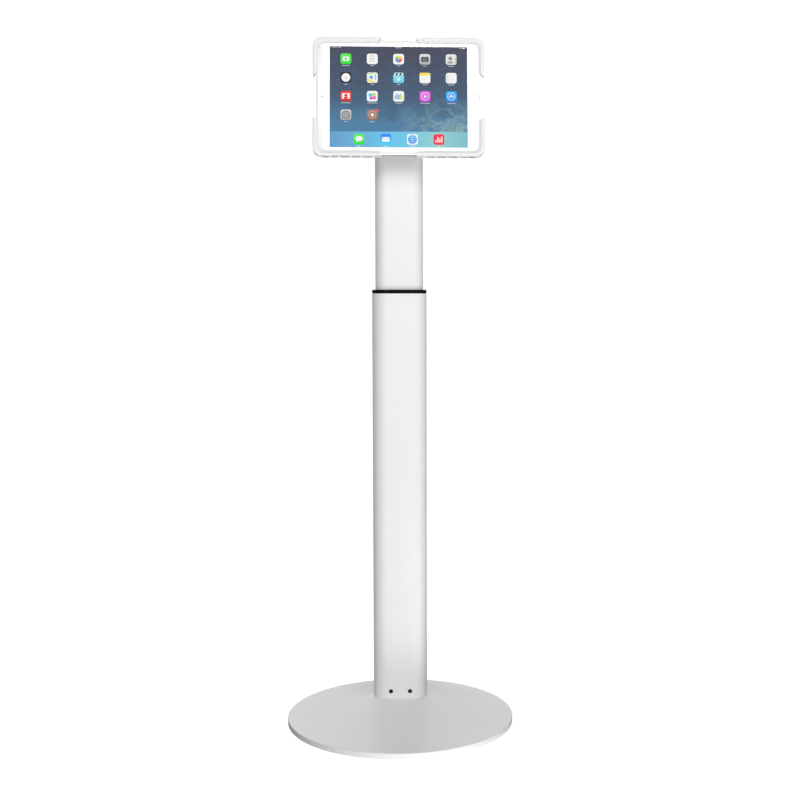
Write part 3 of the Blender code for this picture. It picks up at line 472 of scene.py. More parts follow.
blackSteel = makeFinish("blackSteel", colour=(0.02, 0.02, 0.021), shade=(0.035, 0.034, 0.034), metallic=0.6,
                        roughness=0.34, roughDrift=0.08, grainScale=1800.0, round=0.15 * mm, wear=0.5,
                        wornColour=(0.3, 0.3, 0.31))
castBlack = makeFinish("castBlack", colour=(0.018, 0.018, 0.018), shade=(0.034, 0.033, 0.032), metallic=0.2,
                       roughness=0.62, roughDrift=0.1, grainScale=420.0, grainHeight=0.15 * mm,
                       grainStrength=0.6)
paleAluminium = makeFinish("paleAluminium", colour=(0.58, 0.585, 0.59), shade=(0.53, 0.535, 0.55),
                           metallic=1.0, roughness=0.34, roughDrift=0.05, grainScale=3500.0, grainHeight=0.01 * mm,
                           round=0.15 * mm, wear=0.3, wornColour=(0.9, 0.9, 0.9))
lathedLook = dict(colour=(0.7, 0.71, 0.72), shade=(0.62, 0.63, 0.65), metallic=1.0, roughness=0.3,
                  roughDrift=0.06, grainHeight=0.012 * mm, grainStrength=0.4)
lathedAluminium = makeFinish("lathedAluminium", **lathedLook, rings=(tuple(pivot), turnAxis), round=0.2 * mm,
                             wear=0.3, wornColour=(0.9, 0.9, 0.9))
plainBrass = makeFinish("plainBrass", colour=(0.62, 0.45, 0.17), shade=(0.5, 0.35, 0.13), metallic=1.0,
                        roughness=0.34, roughDrift=0.1, round=0.15 * mm, wear=0.4, wornColour=(0.85, 0.7, 0.4))
whiteGlass = makeFinish("whiteGlass", colour=(0.9, 0.9, 0.9), shade=(0.885, 0.885, 0.89), roughness=0.3,
                        roughDrift=0.02, coat=1.0, coatRoughness=0.04, grainHeight=0.001 * mm, grainStrength=0.05,
                        specks=0.12, speckColour=(0.8, 0.8, 0.8), speckScale=900.0)
keyRing = makeFinish("keyRing", colour=(0.62, 0.62, 0.63), shade=(0.58, 0.58, 0.59), metallic=0.1,
                     roughness=0.3, roughDrift=0.04, grainHeight=0.004 * mm)
cellWrap = makeFinish("cellWrap", colour=(0.2, 0.2, 0.21), shade=(0.16, 0.16, 0.17), metallic=0.3,
                      roughness=0.46, roughDrift=0.1, grainScale=240.0, grainHeight=0.08 * mm, grainStrength=0.5)
lensGrey = makeFinish("lensGrey", colour=(0.72, 0.73, 0.74), shade=(0.66, 0.67, 0.69), driftScale=900.0,
                      roughness=0.12, roughDrift=0.04, coat=1.0, coatRoughness=0.03, grainHeight=0.001 * mm)
def makeBoardFinish():
    # green board with square gold pads, each a cell's middle
    material = makeFinish("boardGreen", colour=(0.015, 0.12, 0.05), shade=(0.01, 0.08, 0.035), roughness=0.42,
                          grainScale=900.0)
    graph = Graph(material.node_tree, fresh=False)
    shader = next(node for node in graph.tree.nodes if node.type == "BSDF_PRINCIPLED")
    place = next(node for node in graph.tree.nodes if node.type == "TEX_COORD").outputs["Object"]
    ground = shader.inputs["Base Color"].links[0].from_socket
    tracks = graph.cells(place, 260.0, distance="CHEBYCHEV")
    pads = graph.span(tracks["Distance"], 0.1, 0.14, 1.0, 0.0)
    graph.join(graph.blend(pads, ground, (0.55, 0.42, 0.16)), shader.inputs["Base Color"])
    return material


boardGreen = makeBoardFinish()
print("finishes ready")

base = dict(
    flare=1.4,             # 1 is a straight cone, more is a hollow flare
    lip=1.2 * mm,          # roll at the rim's top
    sheet=2.0 * mm,
    landMargin=1.5 * mm,   # land left round the column's foot
    landRun=2.2,           # how fast the land's straight sides turn into its half circles
    rise=8.35 * mm,        # rim height
    under=0.3 * mm,        # small cut under the rim
    crowding=1.2,          # above 1 draws the rings closer towards the rim
    around=240,
    rows=48,
)
baseLow, baseHigh = rowBox("base_cover")
columnLow, columnHigh = rowBox("outer_column")
innerLow, innerHigh = rowBox("inner_column")
columnWidth, columnDepth = (columnHigh - columnLow)[:2]
innerWidth, innerDepth = (innerHigh - innerLow)[:2]
baseRadius = baseHigh[0]
rimTop = baseLow[2] + base["rise"]


def baseRing(share, height, inset=0.0):
    # share 0 is the flat-oval land, share 1 the round rim; a ring between them is their straight mix,
    # angle by angle
    turn = np.arange(base["around"]) * 2 * math.pi / base["around"]
    landDepth = columnDepth / 2 + base["landMargin"]
    landReach = (columnWidth - columnDepth) / 2
    landX = landDepth * np.cos(turn) + landReach * np.clip(base["landRun"] * np.cos(turn), -1, 1)
    landY = landDepth * np.sin(turn)
    rim = baseRadius - inset
    x = (1 - share) * landX + share * rim * np.cos(turn)
    y = (1 - share) * landY + share * rim * np.sin(turn)
    return np.stack([x, y, np.full_like(x, height)], 1)


def baseHeight(share):
    # rim top + rise * (1 - share) ^ flare
    return rimTop + (baseHigh[2] - rimTop) * (1 - share) ** base["flare"]


def makeBase():
    lip, sheet, under = base["lip"], base["sheet"], base["under"]
    edge = 1 - 2 * lip / baseRadius
    shares = edge * (1 - (1 - np.linspace(0, 1, base["rows"])) ** base["crowding"])
    rows = [baseRing(share, baseHeight(share)) for share in shares]
    for step in np.linspace(0, math.pi / 2, 7)[1:]:
        out = 1 - (2 * lip - lip * (1 + math.sin(step))) / baseRadius
        rows.append(baseRing(out, rimTop - lip * (1 - math.cos(step))))
    rows.append(baseRing(1, baseLow[2] + under))
    rows.append(baseRing(1, baseLow[2], inset=under))
    rows.append(baseRing(1, baseLow[2], inset=sheet))
    rows.append(baseRing(1, rimTop - sheet, inset=sheet))
    rows += [baseRing(share, baseHeight(share) - sheet) for share in shares[::-3]]
    makePiece("baseCover", [skin(rows)], coatWhite, "base", "base_cover")


makeBase()
print("base ready")

column = dict(
    wall=2.5 * mm,
    innerWall=2.0 * mm,
    topEdge=0.7 * mm,
    fit=0.3 * mm,              # gap round whatever sits in the column
    screwMouth=0.45 * mm,
    screwShank=1.8 * mm,
    screwSocket=1.35 * mm,
    collarEdge=0.9 * mm,
    padHole=5.3 * mm,
    grommetHole=-2.4 * mm,     # its hole is smaller than its flange
    grommetBore=6.0 * mm,
    grommetNeck=9.3 * mm,
)


def ovalRows(width, depth, profile):
    # flat-oval rings: the profile gives (inset from the full outline, height)
    return [raised(ovalOutline(width - 2 * inset, depth - 2 * inset), height) for inset, height in profile]


def tubeProfile(low, high, wall, topEdge):
    corners = [(wall, low), (0.0, low), (0.0, high), (wall, high)]
    return eased(corners, (0.1 * mm, 0.2 * mm, topEdge, 0.3 * mm), steps=4)


def makeOuterColumn():
    profile = tubeProfile(columnLow[2], columnHigh[2], column["wall"], column["topEdge"])
    front, back, mouth = columnLow[1], columnHigh[1], column["screwMouth"]
    cuts = []
    for side in leftRight:
        x, z, radius = roundOf(*rowBox("column_screw_" + side))
        hole = radius + column["fit"]
        steps = [(hole + 1.6 * mouth, front - 0.5 * mm), (hole + mouth, front - 0.01 * mm),
                 (hole, front + mouth), (hole, front + 4 * mm)]
        cuts.append(turned(steps, 40, "Y", (x, 0, z)))
    for node, extra in (("cable_grommet", column["grommetHole"]), ("lock_pad", column["fit"])):
        z, radius = roundOf(*rowBox(node))[1:]
        cuts.append(drill(radius + extra, back - 4 * mm, back + 1 * mm, 48, "Y", (0, 0, z)))
    makePiece("outerColumn", [skin(ovalRows(columnWidth, columnDepth, profile), along=True)], coatWhite,
              "base", "outer_column", cuts=cuts)


def makeColumnScrew(side):
    # dome head with a hexagon socket, shank behind
    low, high = rowBox("column_screw_" + side)
    x, z, head = roundOf(low, high)
    front, shank = low[1], column["screwShank"]
    seat = front + 2.2 * mm
    corners = [(pole, front), (head * 0.62, front), (head, front + 0.9 * mm), (head, seat), (shank, seat),
               (shank, high[1]), (pole, high[1])]
    profile = eased(corners, (0, 0.8 * mm, 0.3 * mm, 0.1 * mm, 0.1 * mm, 0.2 * mm, 0), closed=False)
    hexagon = circleOutline(column["screwSocket"], 6)
    cut = skin([facing(hexagon, depth) + (x, 0, z) for depth in (front - 1 * mm, front + 1.4 * mm)])
    makePiece("columnScrew" + side.title(), [turned(profile, 40, "Y", (x, 0, z))], blackSteel, "base",
              "column_screw_" + side, cuts=[cut])


def makeCollar():
    low, high = rowBox("collar_bushing")
    lip = columnHigh[2] + column["fit"]
    sleeve = columnWidth / 2 - innerWidth / 2 - column["fit"]
    wall = column["wall"] + column["fit"]
    corners = [(sleeve, low[2]), (wall, low[2]), (wall, lip), (0.0, lip), (0.0, high[2]), (sleeve, high[2])]
    profile = eased(corners, (0.2 * mm, 0.2 * mm, 0.1 * mm, 0.6 * mm, column["collarEdge"], 0.5 * mm))
    padZ = roundOf(*rowBox("lock_pad"))[1]
    cut = drill(column["padHole"], columnHigh[1] - 7 * mm, columnHigh[1], 32, "Y", (0, 0, padZ))
    makePiece("collarBushing", [skin(ovalRows(columnWidth, columnDepth, profile), along=True)], collarBlack,
              "base", "collar_bushing", cuts=[cut])


def makeInnerColumn():
    profile = tubeProfile(innerLow[2], innerHigh[2], column["innerWall"], 0.4 * mm)
    makePiece("innerColumn", [skin(ovalRows(innerWidth, innerDepth, profile), along=True)], coatWhite, "mast",
              "inner_column")


def makeGrommet():
    low, high = rowBox("cable_grommet")
    z, outer = roundOf(low, high)[1:]
    bore, neck, tail = column["grommetBore"], column["grommetNeck"], outer - 0.5 * mm
    outside = columnHigh[1] + column["fit"]
    inside = columnHigh[1] - column["wall"] - column["fit"]
    corners = [(bore, low[1]), (bore, high[1]), (outer, high[1]), (outer, outside), (neck, outside),
               (neck, inside), (tail, inside), (tail, low[1])]
    profile = eased(corners, (0.5 * mm, 0.9 * mm, 1.1 * mm, 0.2 * mm, 0.1 * mm, 0.1 * mm, 0.2 * mm, 0.3 * mm))
    makePiece("cableGrommet", [turned(profile, 64, "Y", (0, 0, z), along=True)], softBlack, "base",
              "cable_grommet")


makeOuterColumn()
for side in leftRight:
    makeColumnScrew(side)
makeCollar()
makeInnerColumn()
makeGrommet()
print("column ready")

knob = dict(
    flutes=8,
    fluteDepth=0.07,
    around=192,
    shank=3.7 * mm,
    hub=10.0 * mm,
    length=18.0 * mm,      # hub and grip together
    bossBore=4.2 * mm,
    bossHub=9.5 * mm,
    bossFlange=2.5 * mm,
)


def knobRows(profile, centre):
    # radius at angle t = r * (1 + depth * share * cos(flutes * t)); share is 0 on the hub and 1 on the grip
    radius, height, share = np.asarray(profile, float).T
    turn = np.arange(knob["around"]) * 2 * math.pi / knob["around"]
    size = radius[:, None] * (1 + knob["fluteDepth"] * share[:, None] * np.cos(knob["flutes"] * turn))
    along = np.repeat(height[:, None], knob["around"], 1)
    return np.stack([size * np.cos(turn), along, size * np.sin(turn)], -1) + centre


def makeKnob():
    low, high = rowBox("lock_knob")
    z, outer = roundOf(low, high)[1:]
    grip = outer / (1 + knob["fluteDepth"])
    shank, hub, back = knob["shank"], knob["hub"], high[1]
    shoulder = back - knob["length"]
    corners = [(pole, low[1], 0), (shank, low[1], 0), (shank, shoulder, 0), (hub, shoulder, 0),
               (hub, shoulder + 3 * mm, 0), (grip - 2 * mm, shoulder + 3 * mm, 1),
               (grip, shoulder + 5 * mm, 1), (grip, shoulder + 15 * mm, 1), (grip - 3 * mm, back, 1),
               (9.5 * mm, back, 0), (9 * mm, back - 0.9 * mm, 0), (pole, back - 0.9 * mm, 0)]
    radii = np.array((0, 0.3, 0.2, 0.3, 0.3, 0.8, 1, 2.2, 1.2, 0.4, 0.3, 0)) * mm
    profile = eased(corners, radii, closed=False, steps=5)
    makePiece("lockKnob", [skin(knobRows(profile, (0, 0, z)))], mouldedBlack, "lock_knob", "lock_knob")


def makeLockBoss():
    low, high = rowBox("lock_boss")
    z, outer = roundOf(low, high)[1:]
    bore, hub, flange = knob["bossBore"], knob["bossHub"], low[1] + knob["bossFlange"]
    corners = [(bore, low[1]), (bore, high[1]), (hub, high[1]), (hub, flange), (outer, flange),
               (outer, low[1])]
    profile = eased(corners, (0.4 * mm, 0.6 * mm, 1.0 * mm, 1.2 * mm, 0.7 * mm, 0.1 * mm))
    finish = makeFinish("bossAluminium", **lathedLook, rings=((0.0, 0.0, z), (0.0, 1.0, 0.0)))
    makePiece("lockBoss", [turned(profile, 64, "Y", (0, 0, z), along=True)], finish, "base", "lock_boss")


makeKnob()
makeLockBoss()
print("height lock ready")

joint = dict(
    slabThick=4.0 * mm,
    slabCorner=4.0 * mm,
    slabEdge=0.8 * mm,
    stemHalf=12.0 * mm,
    stemRound=10.0 * mm,
    stemEdge=0.6 * mm,
    hole=4.2 * mm,
    holeReach=30.0 * mm,
    boltHead=6.8 * mm,
    boltHeadHigh=4.2 * mm,
    boltShank=3.9 * mm,
    boltSocket=2.9 * mm,
    nutAcross=13.0 * mm,
    nutBore=4.1 * mm,
    screwHole=2.7 * mm,
    screwSeat=4.7 * mm,
    screwShank=2.4 * mm,
    screwSocket=1.9 * mm,
    cableHole=5.5 * mm,
    cableHoleX=-29.5 * mm,
)
neckScrewX = [roundOf(*rowBox("neck_screw_" + side))[0] for side in leftRight]


def makeMastCap():
    low, high = rowBox("mast_cap")
    wall = column["innerWall"] + column["fit"]
    seat = innerHigh[2] + column["fit"]
    corners = [(wall + 6 * mm, low[2]), (wall, low[2]), (wall, seat), (0, seat), (0, high[2]),
               (8 * mm, high[2])]
    profile = eased(corners, (0, 0.4 * mm, 0.1 * mm, 0.3 * mm, 1.1 * mm, 0), closed=False)
    below, above = low[2] - 2 * mm, high[2] + 2 * mm
    cuts = [drill(joint["screwHole"], below, above, 24, "Z", (x, 0, 0)) for x in neckScrewX]
    cuts.append(drill(joint["cableHole"], below, above, 32, "Z", (joint["cableHoleX"], 0, 0)))
    makePiece("mastCap", [skin(ovalRows(innerWidth, innerDepth, profile))], mouldedBlack, "mast", "mast_cap",
              cuts=cuts)


def eyeOutline(halfWidth, foot, steps=24):
    # two straight sides up to the tilt axis, closed by a half circle about it
    turn = np.linspace(0, math.pi, steps)
    arc = np.stack([halfWidth * np.cos(turn), pivot[2] + halfWidth * np.sin(turn)], 1)
    return np.concatenate([[(-halfWidth, foot), (halfWidth, foot)], arc])


def makeNeck():
    low, high = rowBox("tilt_neck")
    foot, corner = low[2], joint["slabCorner"]
    slabTop = foot + joint["slabThick"]
    profile = eased([(0, foot), (0, slabTop), (6 * mm, slabTop)], (0, joint["slabEdge"], 0), closed=False)
    rows = [raised(boxOutline(high[0] - inset, high[1] - inset, max(corner - inset, 0.5 * mm)), z)
            for inset, z in profile]
    outline = eyeOutline(joint["stemRound"], slabTop - 0.5 * mm)
    middle = np.array([(0.0, pivot[2])])
    half, edge = joint["stemHalf"], joint["stemEdge"]
    stemRows = []
    for x, inset in ((-half, edge), (-half + edge, 0), (half - edge, 0), (half, edge)):
        stemRows.append(endOn(outline + (middle - outline) * inset / joint["stemRound"], x))
    cuts = [drill(joint["hole"], -joint["holeReach"], joint["holeReach"], 40, "X", tuple(pivot))]
    for x in neckScrewX:
        steps = [(joint["screwHole"], foot - 1 * mm), (joint["screwHole"], foot + 1.2 * mm),
                 (joint["screwSeat"], foot + 1.2 * mm), (joint["screwSeat"], foot + 6 * mm)]
        cuts.append(turned(steps, 32, "Z", (x, 0, 0)))
    makePiece("tiltNeck", [skin(rows)], coatWhite, "mast", "tilt_neck", joins=[skin(stemRows)],
              cuts=cuts)


def makeNeckScrew(side):
    low, high = rowBox("neck_screw_" + side)
    x, head = roundOf(low, high)[::2]
    top, shank = high[2], joint["screwShank"]
    seat = top - 2.4 * mm
    corners = [(pole, low[2]), (shank, low[2]), (shank, seat), (head, seat), (head, top), (pole, top)]
    profile = eased(corners, (0, 0.3 * mm, 0.1 * mm, 0.2 * mm, 0.9 * mm, 0), closed=False)
    hexagon = circleOutline(joint["screwSocket"], 6)
    cut = skin([raised(hexagon, height) + (x, 0, 0) for height in (top - 1.6 * mm, top + 1 * mm)])
    makePiece("neckScrew" + side.title(), [turned(profile, 40, "Z", (x, 0, 0))], blackSteel, "mast",
              "neck_screw_" + side, cuts=[cut])


def makeTiltBolt():
    low, high = rowBox("tilt_bolt")
    start, end = low[0], high[0]
    head, shank = joint["boltHead"], joint["boltShank"]
    seat = start + joint["boltHeadHigh"]
    middle = (0, pivot[1], pivot[2])
    corners = [(pole, start), (head, start), (head, seat), (shank, seat), (shank, end), (pole, end)]
    profile = eased(corners, (0, 1.4 * mm, 0.3 * mm, 0.1 * mm, 0.7 * mm, 0), closed=False)
    hexagon = circleOutline(joint["boltSocket"], 6)
    cut = skin([endOn(hexagon, place) + middle for place in (start - 1 * mm, start + 2.4 * mm)])
    makePiece("tiltBolt", [turned(profile, 56, "X", middle)], blackSteel, "mast", "tilt_bolt",
              cuts=[cut])


def hexagonRows(across, low, high, bore, axis, centre=(0.0, 0.0, 0.0), count=96):
    # hexagon whose top corners are rounded off: radius = half the width across flats / cos(angle from a flat)
    turn = np.arange(count) * 2 * math.pi / count
    within = np.mod(turn, math.pi / 3) - math.pi / 6
    corner = across / 2 / np.cos(within)
    crown = np.minimum(corner, across / 2 * 1.06)
    sizes = [(bore, low), (corner, low), (corner, high - 0.9 * mm), (crown, high - 0.25 * mm),
             (crown * 0.96, high), (bore + 0.4 * mm, high), (bore, high - 0.4 * mm)]
    lay = endOn if axis == "X" else facing
    rings = [(np.stack([size * np.cos(turn), size * np.sin(turn)], 1), place) for size, place in sizes]
    return [lay(ring, place) + centre for ring, place in rings]


def makeTiltNut():
    low, high = rowBox("tilt_nut")
    rows = hexagonRows(joint["nutAcross"], low[0], high[0], joint["nutBore"], "X", (0, pivot[1], pivot[2]))
    makePiece("tiltNut", [skin(rows, along=True)], blackSteel, "mast", "tilt_nut", smooth=20)


makeMastCap()
makeNeck()
for side in leftRight:
    makeNeckScrew(side)
makeTiltBolt()
makeTiltNut()
print("tilt joint ready")

plate = dict(
    thick=4.0 * mm,
    edge=0.9 * mm,
    ear=(15.0 * mm, 21.0 * mm),      # where each ear starts and ends across
    earRound=12.0 * mm,
    stopCircle=28.5 * mm,            # radius of the slot that the stop pin runs in
    stopHalf=2.1 * mm,
    stopTurn=(-6, 186),
    bore=8.3 * mm,
    hubFlange=4.0 * mm,
    hubBore=4.0 * mm,
    hubSpigot=8.0 * mm,
    nutAcross=23.6 * mm,
)


def makeTurnPlate():
    low, high = headBox("turn_plate")
    radius, front = high[0], low[1]
    back = front + plate["thick"]
    profile = eased([(pole, front), (radius, front), (radius, back), (pole, back)],
                    (0, plate["edge"], plate["edge"], 0), closed=False)
    turn = np.linspace(-math.pi / 2, math.pi / 2, 25)
    arc = plate["earRound"] * np.stack([np.cos(turn), np.sin(turn)], 1)
    foot = back - 1 * mm
    outline = np.concatenate([[(foot, -plate["earRound"])], arc, [(foot, plate["earRound"])]])
    near, far = plate["ear"]
    ears = []
    for side in (-1, 1):
        rows = []
        for x, inset in ((near, 0.5 * mm), (near + 0.5 * mm, 0), (far - 0.5 * mm, 0), (far, 0.5 * mm)):
            rows.append(endOn(outline * (1 - inset / plate["earRound"]), side * x))
        ears.append(inHead(skin(rows)))
    angle = np.radians(np.linspace(*plate["stopTurn"], 49))[:, None]
    half = plate["stopHalf"]
    radii = plate["stopCircle"] + np.array([-half, half, half, -half])
    depths = np.array([front - 1 * mm, front - 1 * mm, back + 1 * mm, back + 1 * mm])
    slot = np.stack([radii * np.cos(angle), np.repeat(depths[None], 49, 0), radii * np.sin(angle)], -1)
    cuts = [inHead(skin(slot)), inHead(drill(plate["bore"], front - 1 * mm, back + 1 * mm, 64))]
    pinHole = drill(joint["hole"], -joint["holeReach"], joint["holeReach"], 40, "X")
    makePiece("turnPlate", [inHead(turned(profile, 128, "Y"))], coatWhite, "tilt_head", "turn_plate",
              joins=ears, cuts=cuts, later=[inHead(pinHole)])


def makeHub():
    low, high = headBox("case_hub")
    radius, bore, spigot = high[0], plate["hubBore"], plate["hubSpigot"]
    flange = low[1] + plate["hubFlange"]
    corners = [(bore, low[1]), (bore, high[1]), (spigot, high[1]), (spigot, flange), (radius, flange),
               (radius, low[1])]
    profile = eased(corners, (0.3 * mm, 0.4 * mm, 0.6 * mm, 0.6 * mm, 0.9 * mm, 0.2 * mm))
    makePiece("caseHub", [inHead(turned(profile, 128, "Y", along=True))], lathedAluminium, "case", "case_hub")


def makeTurnNut():
    low, high = headBox("turn_nut")
    rows = hexagonRows(plate["nutAcross"], low[1], high[1], plate["bore"], "Y")
    makePiece("turnNut", [inHead(skin(rows, along=True))], turnedSteel, "case", "turn_nut",
              smooth=20)


makeTurnPlate()
makeHub()
makeTurnNut()
print("turntable ready")

case = dict(
    lip=7.2 * mm,
    outer=12.5 * mm,             # outer corner radius
    armX=25.0 * mm,
    armZ=31.0 * mm,
    flange=17.0 * mm,
    ventStarts=(39.2, 54.8, 70.6, 87.1, 99.4),                  # along the long edge, in millimetres
    ventEnds=(52.0, 67.7, 83.6, 96.6, 109.2),
    sideVents=((35.5, 48.0), (50.5, 63.0), (65.5, 72.5)),       # along the short edge, in millimetres
    ventDepth=(1.6 * mm, 7.4 * mm),
    ventCorner=1.1 * mm,
    innerCut=6.2 * mm,           # straight cut across the lip's inner corner
    screwHole=1.7 * mm,
    screwShank=1.4 * mm,
    crossArm=1.5 * mm,           # half length and half width of the screw's cross recess
    crossWide=0.25 * mm,
    slotHalf=(16 * mm, 3 * mm),
    slotFlare=0.6 * mm,
    slotAcross=68 * mm,
    slotStep=16 * mm,
)
glassFront = headBox("tablet_glass")[0][1]
halfCase = headBox("corner_clip_top_right")[1][[0, 2]]
halfTablet = headBox("tablet_shell")[1][[0, 2]]


def clipRun(insetX, insetZ, depth, ends, corner, straight, steps=10):
    # one line of the clip's section: along the top arm, round the corner, down the side arm; straight mixes
    # the corner's arc with a plain cut across it
    halfX, halfZ = halfCase - (insetX, insetZ)
    turn = np.linspace(math.pi / 2, 0, steps + 1)
    arc = np.stack([halfX - corner + corner * np.cos(turn), halfZ - corner + corner * np.sin(turn)], 1)
    share = np.linspace(0, 1, steps + 1)[:, None]
    chord = (1 - share) * arc[0] + share * arc[-1]
    bend = (1 - straight) * arc + straight * chord
    line = np.concatenate([[(case["armX"] + ends, halfZ)], bend, [(halfX, case["armZ"] + ends)]])
    return facing(line, glassFront + depth)


def clipSection():
    # rows of inset across, inset up, depth, how much shorter the arm is, corner radius, all in millimetres,
    # and how far the corner is a straight cut
    wallX, wallZ = (halfCase - halfTablet - (0.35 * mm, 0.3 * mm)) / mm
    lip, outer, flange, cut = (case[key] / mm for key in ("lip", "outer", "flange", "innerCut"))
    rows = np.array([
        (0.0, 0.0, 8.8, 0.0, outer, 0), (0.0, 0.0, -1.5, 0.0, outer, 0),
        (0.9, 0.9, -2.4, 0.2, outer - 0.9, 0), (3.3, 3.3, -2.6, 1.2, outer - 3.3, 0.1),
        (lip, lip, -1.0, 4.0, cut, 1), (lip, lip, -0.4, 4.0, cut, 1),
        (wallX, wallZ, -0.4, 0.2, outer - wallX, 0), (wallX, wallZ, 7.8, 0.0, outer - wallX, 0),
        (flange, flange, 7.8, 0.0, 6.0, 0), (flange, flange, 9.4, 0.0, 6.0, 0),
        (0.8, 0.8, 9.4, 0.0, outer - 0.8, 0),
    ])
    depthSecond = [0, 2, 1, 3, 4, 5]     # eased() rounds in the plane of the first two columns
    radii = (0.2, 0.5, 0.6, 0.5, 0.15, 0.15, 0.1, 0.1, 0.2, 0.3, 0.3)
    return eased(rows[:, depthSecond], radii, steps=3)[:, depthSecond]


def clipVents():
    front, back = (glassFront + depth for depth in case["ventDepth"])
    middle, half, corner = (front + back) / 2, (back - front) / 2, case["ventCorner"]
    vents = []
    for start, end in zip(case["ventStarts"], case["ventEnds"]):
        ring = boxOutline((end - start) / 2 * mm, half, corner, 4, ((start + end) / 2 * mm, middle))
        vents.append(skin([raised(ring, halfTablet[1] - 1 * mm), raised(ring, halfCase[1] + 1 * mm)]))
    for start, end in case["sideVents"]:
        ring = boxOutline(half, (end - start) / 2 * mm, corner, 4, (middle, (start + end) / 2 * mm))
        vents.append(skin([endOn(ring, halfTablet[0] - 1 * mm), endOn(ring, halfCase[0] + 1 * mm)]))
    x, z = roundOf(*headBox("clip_screw_top_right"))[:2]
    vents.append(drill(case["screwHole"], glassFront + 6.8 * mm, glassFront + 10.4 * mm, 24, "Y", (x, 0, z)))
    return vents


def makeClips():
    points, faces = strip([clipRun(*(row[:5] * mm), row[5]) for row in clipSection()])
    vents = clipVents()
    for corner in cornerNames:
        flip = np.array([-1 if "left" in corner else 1, 1, -1 if "bottom" in corner else 1])
        cuts = [inHead((ventPoints * flip, ventFaces)) for ventPoints, ventFaces in vents]
        makePiece("cornerClip" + corner.title().replace("_", ""), [inHead((points * flip, faces))],
                  mouldedWhite, "case", "corner_clip_" + corner, cuts=cuts, soft=0.12 * mm, smooth=30)


def makeClipScrew(corner):
    low, high = headBox("clip_screw_" + corner)
    x, z, head = roundOf(low, high)
    back, shank = high[1], case["screwShank"]
    seat = back - 1.6 * mm
    corners = [(pole, low[1]), (shank, low[1]), (shank, seat), (head, seat), (head, back), (pole, back)]
    profile = eased(corners, (0, 0.2 * mm, 0.1 * mm, 0.1 * mm, 1.0 * mm, 0), closed=False)
    arm, wide = case["crossArm"], case["crossWide"]
    recess = []
    for halfX, halfZ in ((arm, wide), (wide, arm)):
        points, faces = block((-halfX, back - 0.8 * mm, -halfZ), (halfX, back + 1 * mm, halfZ))
        recess.append(inHead((points + (x, 0, z), faces)))
    makePiece("clipScrew" + corner.title().replace("_", ""), [inHead(turned(profile, 40, "Y", (x, 0, z)))],
              blackSteel, "case", "clip_screw_" + corner, later=recess)


def makeCaseBack():
    low, high = headBox("case_back")
    corner = case["outer"] - 2 * mm
    profile = eased([(20 * mm, low[1]), (0, low[1]), (0, high[1]), (20 * mm, high[1])],
                    (0, 0.3 * mm, 1.1 * mm, 0), closed=False)
    rows = [facing(boxOutline(high[0] - inset, high[2] - inset, max(corner - inset, 1 * mm), 10), depth)
            for inset, depth in profile]
    front, back = low[1] - 1 * mm, high[1] + 1 * mm
    flare = case["slotFlare"]
    halfX, halfZ = case["slotHalf"]
    cuts = []
    for row in range(-2, 3):
        for side in (-1, 1):
            middle = (side * case["slotAcross"], row * case["slotStep"])
            slot = boxOutline(halfX, halfZ, halfZ - 0.05 * mm, 8, middle)
            wide = boxOutline(halfX + flare, halfZ + flare, halfZ + flare - 0.1 * mm, 8, middle)
            cuts.append(skin([facing(slot, front), facing(slot, high[1] - 0.5 * mm),
                              facing(wide, high[1] + 0.1 * mm), facing(wide, back)]))
    cuts.append(drill(4.5 * mm, front, back, 40))
    for number in range(1, 5):
        x, z = roundOf(*headBox(f"hub_screw_{number}"))[:2]
        seat = low[1] + 1.4 * mm
        steps = [(3.9 * mm, front), (3.9 * mm, seat), (2.1 * mm, seat), (2.1 * mm, back)]
        cuts.append(turned(steps, 24, "Y", (x, 0, z)))
    for name in cornerNames:
        x, z = roundOf(*headBox("clip_screw_" + name))[:2]
        cuts.append(drill(case["screwHole"], front, back, 24, "Y", (x, 0, z)))
    makePiece("caseBack", [inHead(skin(rows))], mouldedWhite, "case", "case_back",
              cuts=[inHead(cut) for cut in cuts])


makeClips()
for corner in cornerNames:
    makeClipScrew(corner)
makeCaseBack()
print("case ready")

tablet = dict(
    corner=11.0 * mm,
    margin=1.8 * mm,
    glassThick=0.8 * mm,
    displayWide=197.0 * mm,
    displayHigh=147.8 * mm,
    displaySink=0.12 * mm,      # picture lies just under the front face
    displayThick=0.6 * mm,
    buttonSlack=0.2 * mm,
    homeGap=0.25 * mm,
    lensGap=0.3 * mm,
    homeRim=0.75 * mm,
    # shell's section, inset and depth in millimetres: outside from the front rim back, then inside again
    outside=((0.35, 0.3), (0.0, 0.75), (0.0, 2.6), (0.8, 3.7), (2.5, 5.2), (5.0, 6.5), (9.0, 7.4),
             (13.0, 7.5)),
    inside=((13.2, 6.7), (10.8, 6.6), (6.2, 5.8), (3.4, 4.3), (1.5, 3.0), (1.5, 0.3)),
    flatFrom=30 * mm,           # inset of the flat middle of the back
)
halfPicture = np.array([tablet["displayWide"], tablet["displayHigh"]]) / 2
edgeButtons = (("power_button", "powerButton"), ("volume_up_button", "volumeUpButton"),
               ("volume_down_button", "volumeDownButton"))


def tabletOutline(inset):
    corner = max(tablet["corner"] - inset, 1 * mm)
    return boxOutline(halfTablet[0] - inset, halfTablet[1] - inset, corner, 12)


